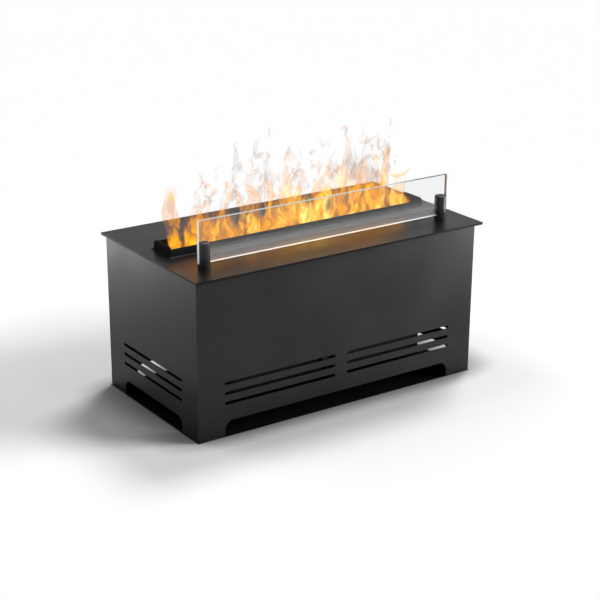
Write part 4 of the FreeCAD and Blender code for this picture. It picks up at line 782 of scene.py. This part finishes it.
# %% Sizes of the tongues
# Foot, tip, top over the plate, half width, height of the belly, bow and veil
MAIN = np.array([
    (-246, -262, 124, 17, 0.76, -6, 0.74), (-242, -248, 124, 12, 0.80, 0, 0.62),
    (-212, -200, 94, 9, 0.3, 3, 0.36), (-190, -178, 96, 8, 0.4, -4, 0.26),
    (-166, -136, 116, 8, 0.35, 5, 0.42), (-142, -139, 82, 9, 0.3, 0, 0.46),
    (-118, -124, 108, 7, 0.4, 5, 0.30), (-86, -97, 124, 21, 0.44, 2, 0.56),
    (-58, -57, 122, 6, 0.75, 4, 0.50), (-44, -62, 146, 8, 0.4, -6, 0.30),
    (-18, -12, 138, 24, 0.46, 0, 0.54), (4, 14, 104, 13, 0.4, -4, 0.44),
    (42, 62, 100, 17, 0.44, 6, 0.70), (88, 95, 136, 5, 0.35, 5, 0.40),
    (112, 122, 168, 9, 0.72, -5, 0.52), (150, 158, 118, 22, 0.5, 0, 0.46),
    (174, 186, 112, 20, 0.5, 4, 0.50), (204, 211, 146, 10, 0.5, 0, 0.66),
    (226, 262, 74, 9, 0.3, -6, 0.40), (246, 268, 66, 6, 0.4, -4, 0.30)], float)
FILL, FILL_LEFT, FILL_RIGHT = 34, -204, 246
# Ranges for the same columns, the tip's counted from the foot
FILL_RANGES = ((-14, 16), (50, 96), (4, 9), (0.3, 0.6), (-6, 6), (0.10, 0.30))

fill_foot = np.linspace(FILL_LEFT, FILL_RIGHT, FILL) + draw.uniform(-5, 5, FILL)
fill = np.column_stack([fill_foot] + [draw.uniform(*limits, FILL) for limits in FILL_RANGES])
fill[:, 1] += fill_foot
tongues = np.vstack([MAIN, fill])
print("tongues:", len(tongues))

# %% Tongues
EDGE_FADE, TIP_FADE = 0.72, 0.7
RIM_POWER, MIDDLE_VEIL, RIM_VEIL = 3, 0.8, 0.35
TONGUE_HEAT, TIP_COOLING, RIM_COOLING = 0.66, 0.2, 0.3
RIM_FROM, RIM_FULL = 0.25, 0.6

many = len(tongues)
tongue_y = draw.uniform(-6, 6, many)
curl, twist, phase = draw.uniform(1, 5, many), draw.uniform(-0.6, 0.6, many), draw.uniform(0, 1, many)
foot = (tongues[:, 0], tongue_y, np.full(many, -FOOT_DROP))
tongue_points = ribbons(foot, *tongues[:, 1:6].T, curl, twist, phase)
rim = np.abs(across) ** RIM_POWER
soft_edge = 1 - smooth(np.abs(across), EDGE_FADE, 1.0)
tongue_veil = column(tongues[:, 6]) * soft_edge * (MIDDLE_VEIL + RIM_VEIL * rim)
tongue_veil = tongue_veil * (1 - smooth(up, TIP_FADE, 1.0)) * dark_lens(tongue_points)
tongue_heat = TONGUE_HEAT - TIP_COOLING * up - RIM_COOLING * rim * smooth(up, RIM_FROM, RIM_FULL)
tongue_heat = tongue_heat + column(draw.uniform(-0.1, 0.12, many))
flame_tongues = sheet_mesh("flame_tongues", tongue_points, tongue_heat, tongue_veil)
print("tongue faces:", len(flame_tongues.data.polygons))

# %% [markdown]
# ## Wisps
# Above the tongues thin shreds of cooling vapour peel off, roll up and fade. Some are narrow ribbons that
# start in the air, others are curled threads and arcs. All are smoky and very thin. A few large ones have
# their own rows of sizes, and a seeded generator draws the rest.

# %% Sizes of the shreds and threads
SHREDS, THREADS = 60, 34
WISPS = SHREDS + THREADS
HIGHEST = 172
# Foot, lower end, top, half width and veil of the tallest wisps and of the broad hazes
TALLEST = np.array([
    (-60, 172, 203, 3, 0.30), (-84, 122, 158, 5, 0.30), (120, 140, 182, 3, 0.34), (-20, 126, 160, 4, 0.30),
    (130, 50, 134, 15, 0.32), (140, 54, 126, 17, 0.32), (166, 54, 124, 24, 0.34), (-62, 82, 126, 9, 0.32),
    (-134, 66, 122, 9, 0.30), (20, 60, 112, 12, 0.34)], float)


def draw_each(shred_range, thread_range):
    """One number for every shred and then every thread, each from its own range."""
    return np.concatenate([draw.uniform(*shred_range, SHREDS), draw.uniform(*thread_range, THREADS)])


wisp_x = draw_each((-200, 225), (-205, 225))
wisp_low = draw_each((58, 106), (56, 124))
wisp_top = np.clip(wisp_low + draw_each((16, 40), (16, 40)), 0, HIGHEST)
wisp_half = draw_each((3.0, 7.5), (1.5, 3.2))
wisp_share = draw_each((0.13, 0.40), (0.12, 0.32))
for values, given in zip((wisp_x, wisp_low, wisp_top, wisp_half, wisp_share), TALLEST.T):
    values[:len(TALLEST)] = given
print("shreds and threads:", WISPS, "up to", wisp_top.max(), "mm")

# %% Shreds and threads
FADE_IN, FADE_OUT, SHRED_COOLING = 0.3, 0.6, 0.1

wisp_y = draw.uniform(-12, 12, WISPS)
wisp_tip = wisp_x + draw_each((-14, 16), (-16, 18))
belly, bow = draw.uniform(0.35, 0.65, WISPS), draw_each((-8, 8), (-12, 12))
curl, twist, phase = draw_each((2, 7), (2, 6)), draw.uniform(-0.8, 0.8, WISPS), draw.uniform(0, 1, WISPS)
foot = (wisp_x, wisp_y, wisp_low)
shred_points = ribbons(foot, wisp_tip, wisp_top, wisp_half, belly, bow, curl, twist, phase)
fade = smooth(up, 0, FADE_IN) * (1 - smooth(up, FADE_OUT, 1.0))
shred_veil = column(wisp_share) * soft_edge * fade
shred_heat = column(draw_each((0.05, 0.54), (-0.1, 0.36))) - SHRED_COOLING * up
print("shred points:", shred_points.shape[:3])

# %% Sizes of the curls
# Middle across and up, half sizes, start and sweep in turns, half width, heat and veil
LARGE = np.array([
    (-190, 80, 9, 12, 0.60, 0.45, 3.0, 0.45, 0.34), (-181, 97, 8, 10, 0.55, -0.50, 2.4, 0.40, 0.30),
    (-166, 79, 9, 5, 0.10, 0.85, 1.6, 0.10, 0.26), (-121, 166, 4, 6, 0.00, 0.90, 1.5, 0.15, 0.22),
    (-72, 160, 14, 17, 0.56, 0.34, 3.4, 0.25, 0.26), (-46, 148, 44, 46, 0.53, -0.15, 3.2, 0.20, 0.24),
    (-12, 134, 6, 8, 0.90, 0.85, 2.6, 0.45, 0.32), (14, 92, 14, 12, 0.52, -0.56, 2.4, 0.20, 0.26),
    (-42, 108, 12, 24, 0.72, -0.34, 2.2, 0.25, 0.26), (39, 120, 6, 3, 0.55, 0.40, 1.6, 0.20, 0.24),
    (70, 146, 5, 6, 0.30, 0.80, 1.6, 0.15, 0.24), (68, 86, 9, 10, -0.12, 0.66, 3.4, 0.50, 0.46),
    (176, 89, 24, 18, 0.46, -0.38, 3.2, 0.42, 0.36), (166, 170, 36, 36, 0.64, 0.26, 2.8, 0.30, 0.28),
    (243, 74, 27, 14, 0.53, 0.45, 2.8, 0.50, 0.40), (204, 163, 13, 15, -0.12, 0.30, 1.8, 0.20, 0.26),
    (111, 162, 9, 9, -0.05, 0.50, 2.4, 0.40, 0.34), (190, 120, 12, 24, -0.15, 0.36, 2.0, 0.25, 0.24)], float)
CURLS = 88
CURL_LOW, CURL_RISE, LOW_POWER = 60, 92, 1.6
# Ranges for the same columns, the middle's height as a share of the rise
CURL_RANGES = ((-208, 226), (0, 1), (3, 10), (8, 24), (0, 1), (-0.5, 0.5), (1.4, 3.8), (-0.05, 0.46),
               (0.1, 0.3))

small = np.column_stack([draw.uniform(*limits, CURLS) for limits in CURL_RANGES])
small[:, 1] = CURL_LOW + CURL_RISE * small[:, 1] ** LOW_POWER
curls = np.vstack([LARGE, small])
print("curls:", len(curls))

# %% Curls
CURL_WEIGHT, CURL_VEIL = 1.9, 1.1

curl_points = arcs(*curls[:, :6].T, CURL_WEIGHT * curls[:, 6], draw.uniform(-10, 10, len(curls)))
curl_veil = CURL_VEIL * column(curls[:, 8]) * soft_edge * np.sqrt(np.sin(np.pi * up))
curl_heat = np.broadcast_to(column(curls[:, 7]), (len(curls), ROWS, 1))
vapour_wisps = sheet_mesh("vapour_wisps", np.concatenate([shred_points, curl_points]),
                          np.concatenate([shred_heat, curl_heat]), np.concatenate([shred_veil, curl_veil]))
print("wisp faces:", len(vapour_wisps.data.polygons))

# %% [markdown]
# ## The vapour rides on the burner
# The vapour stays with the slit that it comes from, so its three pieces ride on the burner. The tongues
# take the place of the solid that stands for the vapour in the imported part.

# %% Vapour on the burner
for piece in (fire_bed, flame_tongues, vapour_wisps):
    piece.data.materials.append(vapour)
    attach(piece, "burner")
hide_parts("vapour_flames")
print("vapour faces:", sum(len(piece.data.polygons) for piece in (fire_bed, flame_tongues, vapour_wisps)))
